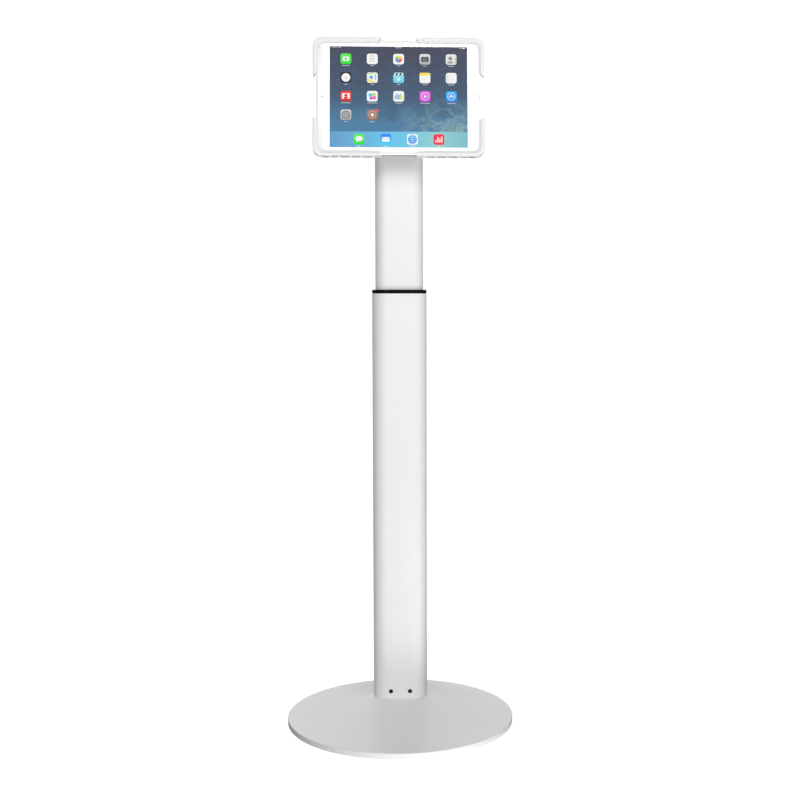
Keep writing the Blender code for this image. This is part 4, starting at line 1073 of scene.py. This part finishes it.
def makeShell():
    outside = np.array(tablet["outside"]) * mm
    inside = np.array(tablet["inside"]) * mm
    start, end = (tablet["flatFrom"], outside[-1, 1]), (tablet["flatFrom"], inside[0, 1])
    outside = eased(outside, (0, 0.1 * mm, 1.5 * mm, 2 * mm, 3 * mm, 4 * mm, 5 * mm, 0), closed=False)
    profile = np.concatenate([[start], outside[::-1], inside[::-1], [end]])
    rows = [facing(tabletOutline(inset), glassFront + depth) for inset, depth in profile]
    slack = tablet["buttonSlack"]
    front, back = (corner[1] for corner in headBox("power_button"))
    cuts = []
    for node in dict(edgeButtons):
        low, high = (corner + change for corner, change in zip(headBox(node), (-slack, slack)))
        low[1], high[1] = front - slack, back + slack
        cuts.append(inHead(block(low, high)))
    makePiece("tabletShell", [inHead(skin(rows))], paleAluminium, "case", "tablet_shell",
              cuts=cuts)


def makeGlass():
    front, margin = glassFront, tablet["margin"]
    back = front + tablet["glassThick"]
    outer = [(margin, back), (margin, front + 0.25 * mm), (margin + 0.08 * mm, front + 0.08 * mm),
             (margin + 0.25 * mm, front)]
    rows = [facing(tabletOutline(inset), depth) for inset, depth in outer]
    window = boxOutline(*halfPicture, 0.2 * mm, 12)
    rows += [facing(window, front), facing(window, back)]
    cuts = []
    for node, gap in (("home_button", tablet["homeGap"]), ("camera_lens", tablet["lensGap"])):
        x, radius = roundOf(*headBox(node))[::2]
        cuts.append(inHead(drill(radius + gap, front - 1 * mm, back + 1 * mm, 64, "Y", (x, 0, 0))))
    makePiece("tabletGlass", [inHead(skin(rows, along=True))], whiteGlass, "case", "tablet_glass",
              cuts=cuts)


def makeHomeButton():
    # shallow dish with a thin raised ring round it
    low, high = headBox("home_button")
    x, radius = roundOf(low, high)[::2]
    front, back = low[1], high[1]
    rim = radius - tablet["homeRim"]
    ringStart = rim + 0.05 * mm
    corners = [(pole, front + 0.35 * mm), (radius * 0.5, front + 0.3 * mm), (rim, front + 0.12 * mm),
               (rim, back), (pole, back)]
    edge = [(ringStart, front + 0.05 * mm), (radius - 0.2 * mm, front), (radius, front + 0.2 * mm),
            (radius, back), (ringStart, back)]
    dish = turned(corners, 72, "Y", (x, 0, 0))
    ring = turned(edge, 72, "Y", (x, 0, 0), along=True)
    makePiece("homeButton", [inHead(dish)], whiteGlass, "home_button", "home_button")
    makePiece("homeRing", [inHead(ring)], keyRing, "home_button")


def makeLens():
    low, high = headBox("camera_lens")
    x, radius = roundOf(low, high)[::2]
    front, back = low[1], high[1]
    corners = [(pole, front + 0.25 * mm), (radius * 0.45, front + 0.3 * mm),
               (radius * 0.6, front + 0.15 * mm), (radius * 0.95, front + 0.05 * mm),
               (radius, front + 0.2 * mm), (radius, back), (pole, back)]
    makePiece("cameraLens", [inHead(turned(corners, 40, "Y", (x, 0, 0)))], lensGrey, "case", "camera_lens")


def makeEdgeButton(node, name):
    # rounded pill along the edge: its outline is the button's own box with round ends
    low, high = headBox(node)
    middle = (low + high) / 2
    half = (high - low) / 2
    onSide = node == "power_button"
    length, out = (half[2], half[0]) if onSide else (half[0], half[2])
    profile = eased([(0, -out), (0, out), (0.5 * mm, out)], (0, 0.25 * mm, 0), closed=False)
    rows = []
    for inset, height in profile:
        corner = max(half[1] - inset - 0.02 * mm, 0.05 * mm)
        ring = boxOutline(half[1] - inset, length - inset, corner, 5)
        rows.append(middle + (endOn(ring, -height) if onSide else raised(ring[:, ::-1], height)))
    makePiece(name, [inHead(skin(rows))], paleAluminium, node, node)


makeShell()
makeGlass()
makeHomeButton()
makeLens()
for node, name in edgeButtons:
    makeEdgeButton(node, name)
print("tablet ready")

picture = dict(
    glow=1.0,
    gloss=0.02,
    unlit=(0.01, 0.01, 0.012, 1.0),
    roughness=(0.26, 0.34),
    # places of the small pictures and of the dock's top, in millimetres from the display's middle
    dockTop=-50.8,
    rowHeights=(55.6, 28.1, 0.9, -26.5),
    columns=(-75.4, -37.7, 0.0, 37.7, 75.4),
    dockRow=-62.0,
    dockColumns=(-56.7, -18.6, 19.4, 57.1),
    iconSize=15.5,
    iconCorner=3.4,
    layer=0.004 * mm,           # step between the levels of the flat shapes
    lift=0.02 * mm,
    sky=((0.0, (0.075, 0.19, 0.33)), (0.22, (0.075, 0.2, 0.34)), (0.45, (0.062, 0.115, 0.19)),
         (0.72, (0.063, 0.085, 0.14)), (1.0, (0.064, 0.07, 0.105))),
    dock=((0.0, (0.135, 0.335, 0.57)), (0.4, (0.14, 0.53, 0.80)), (0.55, (0.16, 0.56, 0.78)),
          (0.78, (0.30, 0.62, 0.62)), (1.0, (0.21, 0.50, 0.60))),
    cloud=(0.20, 0.36, 0.36),
    wisp=(0.50, 0.66, 0.60),
    blue=(0.075, 0.24, 0.42),
    star=(0.22, 0.42, 0.6),
)


def makeGlow(name):
    # a dark, slightly glossy face that shines in its own colour
    material, graph, shader = newMaterial(name)
    setSockets(shader, {"Emission Strength": picture["glow"], "Specular IOR Level": picture["gloss"],
                        "Base Color": picture["unlit"]})
    return material, graph, shader


def makePictureFinish():
    # night sky over a hazy shore: slate above, blue to the lower left, green haze to the lower right,
    # and small stars
    material, graph, shader = makeGlow("pictureGlow")
    sheet = graph.add("ShaderNodeUVMap", uv_map="sheet").outputs[0]
    split = graph.add("ShaderNodeSeparateXYZ")
    graph.join(sheet, split.inputs[0])
    across, up = split.outputs[0], split.outputs[1]
    patches = graph.noise(sheet, 5.0, 5.0, 0.6)
    colour = graph.ramp(graph.number("ADD", up, graph.span(patches, 0.3, 0.7, -0.1, 0.1)), picture["sky"])
    rightward, downward = graph.span(across, 0.45, 0.85, 0.0, 1.0), graph.span(up, 0.5, 0.12, 0.0, 1.0)
    haze = graph.number("MULTIPLY", rightward, downward)
    curls = graph.noise(sheet, 6.5, 6.0, 0.62, 1.4)
    offRidge = graph.number("ABSOLUTE", graph.number("SUBTRACT", curls, 0.52))
    ridge = graph.number("SUBTRACT", 1.0, graph.number("MULTIPLY", offRidge, 9.0), True)
    wisps = graph.number("MULTIPLY", haze, graph.number("POWER", ridge, 2.0))
    cloud = graph.number("MULTIPLY", haze, graph.span(curls, 0.42, 0.7, 0.15, 0.75))
    colour = graph.blend(cloud, colour, picture["cloud"])
    colour = graph.blend(graph.number("MULTIPLY", wisps, 0.45), colour, picture["wisp"])
    leftward, downward = graph.span(across, 0.5, 0.0, 0.0, 1.0), graph.span(up, 0.55, 0.2, 0.0, 1.0)
    glow = graph.number("MULTIPLY", leftward, downward)
    glow = graph.number("MULTIPLY", glow, graph.span(patches, 0.35, 0.7, 0.1, 0.8))
    colour = graph.blend(glow, colour, picture["blue"])
    stars = graph.cells(sheet, 34.0, voronoi_dimensions="2D")
    starSize = graph.add("ShaderNodeSeparateColor")
    graph.join(stars["Color"], starSize.inputs[0])
    reach = graph.span(starSize.outputs[0], 0.45, 1.0, 0.0, 0.13)
    spark = graph.span(graph.number("SUBTRACT", reach, stars["Distance"]), 0.0, 0.05, 0.0, 0.8)
    colour = graph.blend(spark, colour, picture["star"])
    dockTop = picture["dockTop"] * mm / tablet["displayHigh"] + 0.5
    inDock = graph.span(up, dockTop - 0.001, dockTop + 0.001, 1.0, 0.0)
    colour = graph.blend(inDock, colour, graph.ramp(across, picture["dock"]))
    graph.join(colour, shader.inputs["Emission Color"])
    graph.join(graph.span(patches, 0.3, 0.7, *picture["roughness"]), shader.inputs["Roughness"])
    return material


def makeIconFinish():
    # colour painted on each shape, faintly uneven as a lit display is
    material, graph, shader = makeGlow("iconGlow")
    paint = graph.add("ShaderNodeAttribute", attribute_name="paint").outputs["Color"]
    place = graph.add("ShaderNodeTexCoord").outputs["Object"]
    uneven = graph.add("ShaderNodeHueSaturation")
    graph.join(paint, uneven.inputs["Color"])
    graph.join(graph.span(graph.noise(place, 2200.0, 1.0), 0.3, 0.7, 0.97, 1.0), uneven.inputs["Value"])
    graph.join(uneven.outputs[0], shader.inputs["Emission Color"])
    roughness = graph.span(graph.noise(place, 90.0), 0.3, 0.7, *picture["roughness"])
    graph.join(roughness, shader.inputs["Roughness"])
    return material


def makePictureSheet():
    half = halfPicture - 0.05 * mm
    front = glassFront + tablet["displaySink"]
    ring = boxOutline(*half, 0.2 * mm, 3)
    slab = skin([facing(ring, front), facing(ring, front + tablet["displayThick"])])
    piece = makePiece("displayPicture", [inHead(slab)], makePictureFinish(), "case")
    mesh = piece.data
    layer = mesh.uv_layers.new(name="sheet")
    corner = np.zeros(len(mesh.loops), np.int32)
    mesh.loops.foreach_get("vertex_index", corner)
    uv = toHead(meshPoints(mesh))[:, [0, 2]] / (2 * half) + 0.5
    layer.data.foreach_set("uv", uv[corner].astype(np.float32).ravel())


white = (0.93, 0.93, 0.93)
shapes = []              # outline, colour at the top, colour at the lowest edge, level
spot = np.zeros(2)       # middle of the small picture that is being drawn


def draw(outline, colour, level=2, low=None):
    # one flat shape, in millimetres from the spot; low is the colour at its lowest edge
    shapes.append((np.asarray(outline, float) + spot, colour, low or colour, level))


def dot(x, z, radius, colour, level=2, low=None):
    draw(circleOutline(radius, 28, (x, z)), colour, level, low)


def bar(x, z, wide, high, colour, level=2, radius=0.3):
    corner = min(radius, wide / 2 - 0.01, high / 2 - 0.01)
    draw(boxOutline(wide / 2, high / 2, corner, 3, (x, z)), colour, level)


def ringMark(radius, wide, colour, inner, level=2):
    dot(0, 0, radius, colour, level)
    dot(0, 0, radius - wide, inner, level + 1)


def tile(x, z, colour=white, low=None):
    # the round-cornered square under a small picture; it moves the spot there
    spot[:] = (x, z)
    half = picture["iconSize"] / 2
    draw(boxOutline(half, half, picture["iconCorner"], 6), colour, 1, low)


def drawTopRow(c, z):
    tile(c[0], z, (0.12, 0.86, 0.1), (0.03, 0.74, 0.05))
    bar(0, 0, 9.4, 6.6, white, radius=1.6)
    dot(0, 0, 2.0, (0.12, 0.82, 0.2), 3)
    tile(c[1], z)
    bar(0, 4.4, 6.0, 1.0, (0.85, 0.2, 0.16))
    for line in range(3):
        bar(0, 1.2 - 2.4 * line, 8.6, 0.7, (0.42, 0.42, 0.44))
    tile(c[2], z)
    wheel = ((0.95, 0.55, 0.05), (0.85, 0.78, 0.1), (0.25, 0.62, 0.2), (0.1, 0.4, 0.75), (0.4, 0.2, 0.6),
             (0.85, 0.1, 0.15))
    for i, colour in enumerate(wheel):
        turn = np.linspace(i, i + 1, 8) * math.pi / 3
        draw(np.concatenate([[(0, 0)], 5.2 * np.stack([np.cos(turn), np.sin(turn)], 1)]), colour)
    tile(c[3], z, (0.8, 0.8, 0.8), (0.42, 0.42, 0.44))
    bar(0, 0, 10.6, 7.6, (0.06, 0.06, 0.07), radius=1.3)
    dot(0, 0, 2.9, (0.3, 0.3, 0.32), 3)
    dot(0, 0, 1.8, (0.08, 0.08, 0.1), 4)
    tile(c[4], z, (0.8, 0.8, 0.78))
    dot(-1.2, 1.4, 2.9, (0.3, 0.3, 0.31))
    bar(-1.2, -4.4, 8.4, 3.2, (0.36, 0.36, 0.37), radius=1.5)
    for step, colour in ((3.6, (0.75, 0.75, 0.75)), (0.6, (0.15, 0.55, 0.85)), (-2.4, (0.3, 0.75, 0.25)),
                         (-5.2, (0.9, 0.45, 0.1))):
        bar(6.4, step, 2.0, 2.6, colour)


def drawSecondRow(c, z):
    tile(c[0], z, (0.02, 0.02, 0.03))
    dot(0, 0, 6.3, white)
    bar(0.9, -1.2, 0.5, 4.2, (0.1, 0.1, 0.1), 3)
    bar(-1.2, 0.6, 3.6, 0.5, (0.7, 0.25, 0.1), 3)
    tile(c[1], z, (0.9, 0.9, 0.84))
    draw([(-7.4, 4.2), (-2, 7.4), (5, 7.4), (-6, 4.2)], (0.4, 0.72, 0.2))
    draw([(-7.6, -1), (-7.6, -4.5), (1.5, -7.6), (6.2, -7.6)], (0.95, 0.75, 0.08))
    dot(-1.5, 0.4, 2.6, (0.12, 0.4, 0.85), 3)
    bar(4.6, 1, 2.0, 9.0, (0.3, 0.55, 0.88), 3, radius=0.9)
    tile(c[2], z, (0.25, 0.8, 0.85), (0.15, 0.62, 0.78))
    bar(0, 5.2, 15.5, 3.4, (0.03, 0.03, 0.03), radius=1.2)
    for step in (-5.2, 0.0, 5.2):
        draw([(step - 1.9, 3.5), (step + 0.4, 3.5), (step + 1.9, 6.9), (step - 0.4, 6.9)], white, 3)
    draw([(-1.6, -5.2), (3.2, -2.2), (-1.6, 0.8)], white)
    tile(c[3], z)
    draw(boxOutline(7.75, 2.2, 2.1, 5, (0, 5.5)), (0.98, 0.76, 0.1))
    for line in range(3):
        bar(0, 1.0 - 2.9 * line, 11.6, 0.35, (0.62, 0.62, 0.6))
    tile(c[4], z)
    for line, colour in enumerate(((0.95, 0.5, 0.1), (0.2, 0.65, 0.9), (0.4, 0.8, 0.2), (0.75, 0.4, 0.85))):
        dot(-5.0, 4.4 - 2.9 * line, 1.0, colour)
        bar(1.4, 4.4 - 2.9 * line, 8.8, 0.4, (0.6, 0.6, 0.6))


def drawThirdRow(c, z):
    tile(c[0], z, (0.82, 0.05, 0.04), (0.62, 0.02, 0.02))
    bar(0, 0, 11.4, 8.4, (0.95, 0.88, 0.86), radius=0.8)
    dot(0, 0.9, 2.3, (0.75, 0.04, 0.03), 3)
    bar(0, -2.8, 6.4, 2.6, (0.75, 0.04, 0.03), 3, radius=1.2)
    tile(c[1], z)
    for x, up, size, colour in ((-2.6, 1.6, 2.9, (0.1, 0.6, 0.85)), (2.2, 2.4, 2.6, (0.45, 0.8, 0.15)),
                                (2.6, -2.2, 3.0, (0.95, 0.15, 0.45)), (-2.0, -3.2, 2.0, (0.35, 0.1, 0.85))):
        dot(x, up, size, colour)
    tile(c[2], z)
    for step, high, colour in ((-5.0, 6.4, (0.9, 0.35, 0.1)), (-2.4, 8.6, (0.2, 0.5, 0.75)),
                               (0.2, 7.2, (0.15, 0.4, 0.7)), (2.8, 9.0, (0.45, 0.72, 0.25)),
                               (5.2, 5.6, (0.85, 0.75, 0.15))):
        bar(step, -4.6 + high / 2, 2.0, high, colour)
    tile(c[3], z, (0.84, 0.16, 0.76), (0.62, 0.06, 0.68))
    ringMark(5.6, 0.7, white, (0.73, 0.1, 0.72))
    draw([(-1.6, -2.6), (2.9, 0), (-1.6, 2.6)], white, 4)
    tile(c[4], z, (0.03, 0.52, 0.93), (0.02, 0.22, 0.86))
    ringMark(5.6, 0.7, white, (0.02, 0.36, 0.9))
    draw([(-3.4, -0.6), (0, 3.0), (3.4, -0.6), (2.4, -1.8), (0, 0.7), (-2.4, -1.8)], white, 4)


def drawFourthRow(c, z):
    tile(c[0], z, (0.62, 0.62, 0.63), (0.4, 0.4, 0.42))
    ringMark(5.9, 1.3, (0.16, 0.16, 0.17), (0.5, 0.5, 0.52))
    ringMark(3.2, 0.9, (0.14, 0.14, 0.15), (0.45, 0.45, 0.46), 4)
    tile(c[1], z, (0.42, 0.24, 0.18), (0.3, 0.15, 0.1))
    ringMark(5.4, 0.6, (0.7, 0.55, 0.5), (0.36, 0.19, 0.14))
    draw([(-2.6, 0.4), (0, 3.0), (2.6, 0.4), (0, -3.2)], white, 4)
    dot(6.6, 6.4, 2.3, (0.9, 0.12, 0.1), 4)


def drawDock(c, z):
    tile(c[0], z, (0.12, 0.86, 0.12), (0.03, 0.74, 0.06))
    bar(0, 0.7, 10.4, 7.0, white, radius=3.3)
    draw([(-3.2, -2.0), (-0.6, -2.6), (-3.4, -4.8)], white)
    tile(c[1], z, (0.03, 0.18, 0.88), (0.07, 0.66, 0.95))
    bar(0, -0.2, 10.8, 6.8, white, radius=0.8)
    draw([(-5.2, 3.0), (0, -1.4), (5.2, 3.0), (4.4, 3.0), (0, -0.7), (-4.4, 3.0)], (0.2, 0.5, 0.9), 3)
    tile(c[2], z)
    dot(0, 0, 6.5, (0.05, 0.5, 0.92), 2, (0.03, 0.24, 0.84))
    for step, wide, high in ((3.0, 9.2, 0.5), (0.0, 12.4, 0.5), (-3.0, 9.2, 0.5), (0.0, 0.5, 12.2)):
        bar(0, step, wide, high, (0.8, 0.9, 0.95), 3)
    tile(c[3], z, (0.95, 0.03, 0.1), (0.92, 0.03, 0.04))
    for step, high in ((-4.2, 4.0), (-1.4, 8.6), (1.4, 6.2), (4.2, 9.6)):
        bar(step, -4.6 + high / 2, 1.6, high, white, radius=0.7)


def drawNotes():
    # plain bars stand where captions and the status line would be
    spot[:] = 0
    pale = (0.62, 0.64, 0.70)
    widths = ((11.5, 5.0, 4.6, 4.8, 7.2), (5.0, 5.0, 4.4, 7.2, 9.0), (14.2, 14.8, 9.6, 14.0, 12.0),
              (4.6, 7.0))
    for z, row in zip(picture["rowHeights"], widths):
        for x, wide in zip(picture["columns"], row):
            bar(x, z - 10.0, wide, 0.8, pale, 1, radius=0.35)
    for x, wide in zip(picture["dockColumns"], (5.2, 5.2, 7.6, 4.8)):
        bar(x, picture["dockRow"] - 10.1, wide, 0.8, (0.8, 0.88, 0.92), 1, radius=0.35)
    for step in range(5):
        dot(-95.0 + 1.7 * step, 72.4, 0.55, pale, 1)
    for x, wide, high, colour in ((-84.0, 3.4, 0.9, pale), (0.0, 9.0, 0.9, pale), (88.4, 3.4, 0.9, pale),
                                  (93.2, 4.2, 1.5, white)):
        bar(x, 72.4, wide, high, colour, 1)


def makeIcons():
    for drawRow, z in zip((drawTopRow, drawSecondRow, drawThirdRow, drawFourthRow), picture["rowHeights"]):
        drawRow(picture["columns"], z)
    drawDock(picture["dockColumns"], picture["dockRow"])
    drawNotes()
    front = glassFront + tablet["displaySink"]
    skins, colours = [], []
    for outline, top, low, level in shapes:
        outline = outline * mm
        near = front - level * picture["layer"] - picture["lift"]
        skins.append(inHead(skin([facing(outline, near), facing(outline, front + 0.05 * mm)])))
        height = outline[:, 1:] - outline[:, 1].min()
        share = height / (height.max() + 1e-9)
        ringColours = (1 - share) * np.array(low) + share * np.array(top)
        colours += [ringColours, ringColours]
    piece = newObject("displayIcons", newMesh("displayIcons", skins, weld=False))
    colours = np.concatenate(colours)
    opaque = np.column_stack([colours, np.ones(len(colours))])
    paint = piece.data.color_attributes.new("paint", "FLOAT_COLOR", "POINT")
    paint.data.foreach_set("color", opaque.astype(np.float32).ravel())
    piece.data.materials.append(makeIconFinish())
    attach(piece, "case")


makePictureSheet()
makeIcons()
print("picture ready")

# finishes for the solids that stay as they are
keptSolids = (
    (castBlack, ["base_weight"]),
    (turnedSteel, ["base_riser", "column_socket", "turn_stop_pin"]),
    (turnedSteel, [f"{screw}_{number}" for screw in ("base_bolt", "hub_screw") for number in range(1, 5)]),
    # the edge liners are black sheets behind the clip vents; they put painted shade inside the vents
    (softBlack, ["rubber_foot_ring"] + ["edge_liner_" + corner for corner in cornerNames]),
    (plainBrass, ["lock_pad"]),
    (mouldedBlack, ["guide_shoe", "tilt_disc_left", "tilt_disc_right", "turn_friction_ring"]),
    (cellWrap, ["display_panel", "tablet_battery"]),
    (boardGreen, ["tablet_board"]),
)
for finish, names in keptSolids:
    for name in names:
        for socket in nodes[name].material_slots:
            socket.material = finish
print("kept solids finished")

studio = dict(
    camera=(-0.0005, -1.821, 0.6305),
    heading=2.28,              # degrees towards +X
    pitch=4.45,                # degrees below level
    lens=54.94,
    sensor=36.0,
    shift=(-0.0597, 0.0),
    farthest=60.0,
    floorRadii=(0.05, 0.5, 1.0, 2.0, 5.0, 14.0),
    floorColour=0.15,
    # azimuth, width as a power, slants where the glow starts, is full, fades and ends, strength
    floorLamps=((27, 4, 0.1, 0.2, 0.35, 0.5, 1.65), (27, 4, 0.3, 0.45, 0.55, 0.7, 2.4),
                (190, 3, 0.1, 0.2, 0.55, 0.7, 1.6)),
    floorShown=1.0,            # least glow that the camera sees
    sky=0.115,
    backdrop=1.05,             # plain white behind the stand
    # azimuth from the front towards +X, elevation, width as a power, strength
    lamps=((3, 30, 24, 9.3), (25, 30, 24, 0.3), (0, 5, 24, 1.1), (180, 30, 8, 2.0), (180, 5, 8, 0.5),
           (-135, 20, 8, 0.65)),
)
plainWhite = (1.0, 1.0, 1.0, 1.0)


def towards(azimuth, elevation=0.0):
    # direction of a lamp: (cos e sin a, -cos e cos a, sin e)
    a, e = math.radians(azimuth), math.radians(elevation)
    return math.cos(e) * math.sin(a), -math.cos(e) * math.cos(a), math.sin(e)


def makeFloor():
    disc = turned([(radius, 0.0) for radius in studio["floorRadii"]])
    floor = newObject("paleFloor", newMesh("paleFloor", [disc]))
    material, graph, shader = newMaterial("paleFloor")
    setSockets(shader, {"Base Color": (*[studio["floorColour"]] * 3, 1.0), "Roughness": 0.9,
                        "Specular IOR Level": 0.0, "Emission Color": plainWhite})
    slant = graph.add("ShaderNodeLayerWeight")
    slant.inputs["Blend"].default_value = 0.5
    heading = graph.vector("NORMALIZE", graph.add("ShaderNodeTexCoord").outputs["Object"])
    given = 0.0
    for azimuth, width, start, full, fade, end, strength in studio["floorLamps"]:
        toward = graph.vector("DOT_PRODUCT", heading, towards(azimuth))
        near = graph.number("POWER", graph.span(toward, -1.0, 1.0, 0.0, 1.0), width)
        risen = graph.span(slant.outputs["Facing"], start, full, 0.0, strength)
        left = graph.span(slant.outputs["Facing"], fade, end, 1.0, 0.0)
        lobe = graph.number("MULTIPLY", near, graph.number("MULTIPLY", risen, left))
        given = graph.number("ADD", lobe, given)
    seen = graph.add("ShaderNodeLightPath").outputs["Is Camera Ray"]
    shown = graph.number("MULTIPLY", seen, studio["floorShown"])
    graph.join(graph.number("MAXIMUM", given, shown), shader.inputs["Emission Strength"])
    floor.data.materials.append(material)


def makeSky():
    # light from a direction = sky + sum of strength * max(0, direction . lamp) ^ width
    world = bpy.data.worlds.new("studioSky")
    bpy.context.scene.world = world
    world.use_nodes = True
    graph = Graph(world.node_tree)
    direction = graph.add("ShaderNodeTexCoord").outputs["Generated"]
    total = studio["sky"]
    for azimuth, elevation, width, strength in studio["lamps"]:
        toward = graph.vector("DOT_PRODUCT", direction, towards(azimuth, elevation))
        near = graph.number("POWER", graph.number("MAXIMUM", toward, 0.0), width)
        total = graph.number("ADD", total, graph.number("MULTIPLY", near, strength))
    lit = graph.add("ShaderNodeBackground")
    graph.join(total, lit.inputs["Strength"])
    plain = graph.add("ShaderNodeBackground")
    setSockets(plain, {"Color": plainWhite, "Strength": studio["backdrop"]})
    pick = graph.add("ShaderNodeMixShader")
    seen = graph.add("ShaderNodeLightPath").outputs["Is Camera Ray"]
    for source, target in zip((seen, lit.outputs[0], plain.outputs[0]), pick.inputs):
        graph.join(source, target)
    graph.join(pick.outputs[0], graph.add("ShaderNodeOutputWorld").inputs["Surface"])


def makeCamera():
    camera = newObject("studioCamera", bpy.data.cameras.new("studioCamera"))
    camera.location = studio["camera"]
    camera.rotation_euler = (math.radians(90 - studio["pitch"]), 0.0, math.radians(-studio["heading"]))
    camera.data.sensor_width = studio["sensor"]
    camera.data.lens = studio["lens"]
    camera.data.shift_x, camera.data.shift_y = studio["shift"]
    camera.data.clip_end = studio["farthest"]
    bpy.context.scene.camera = camera


makeFloor()
makeSky()
makeCamera()
bpy.context.scene.view_settings.view_transform = "Standard"
print("studio ready")
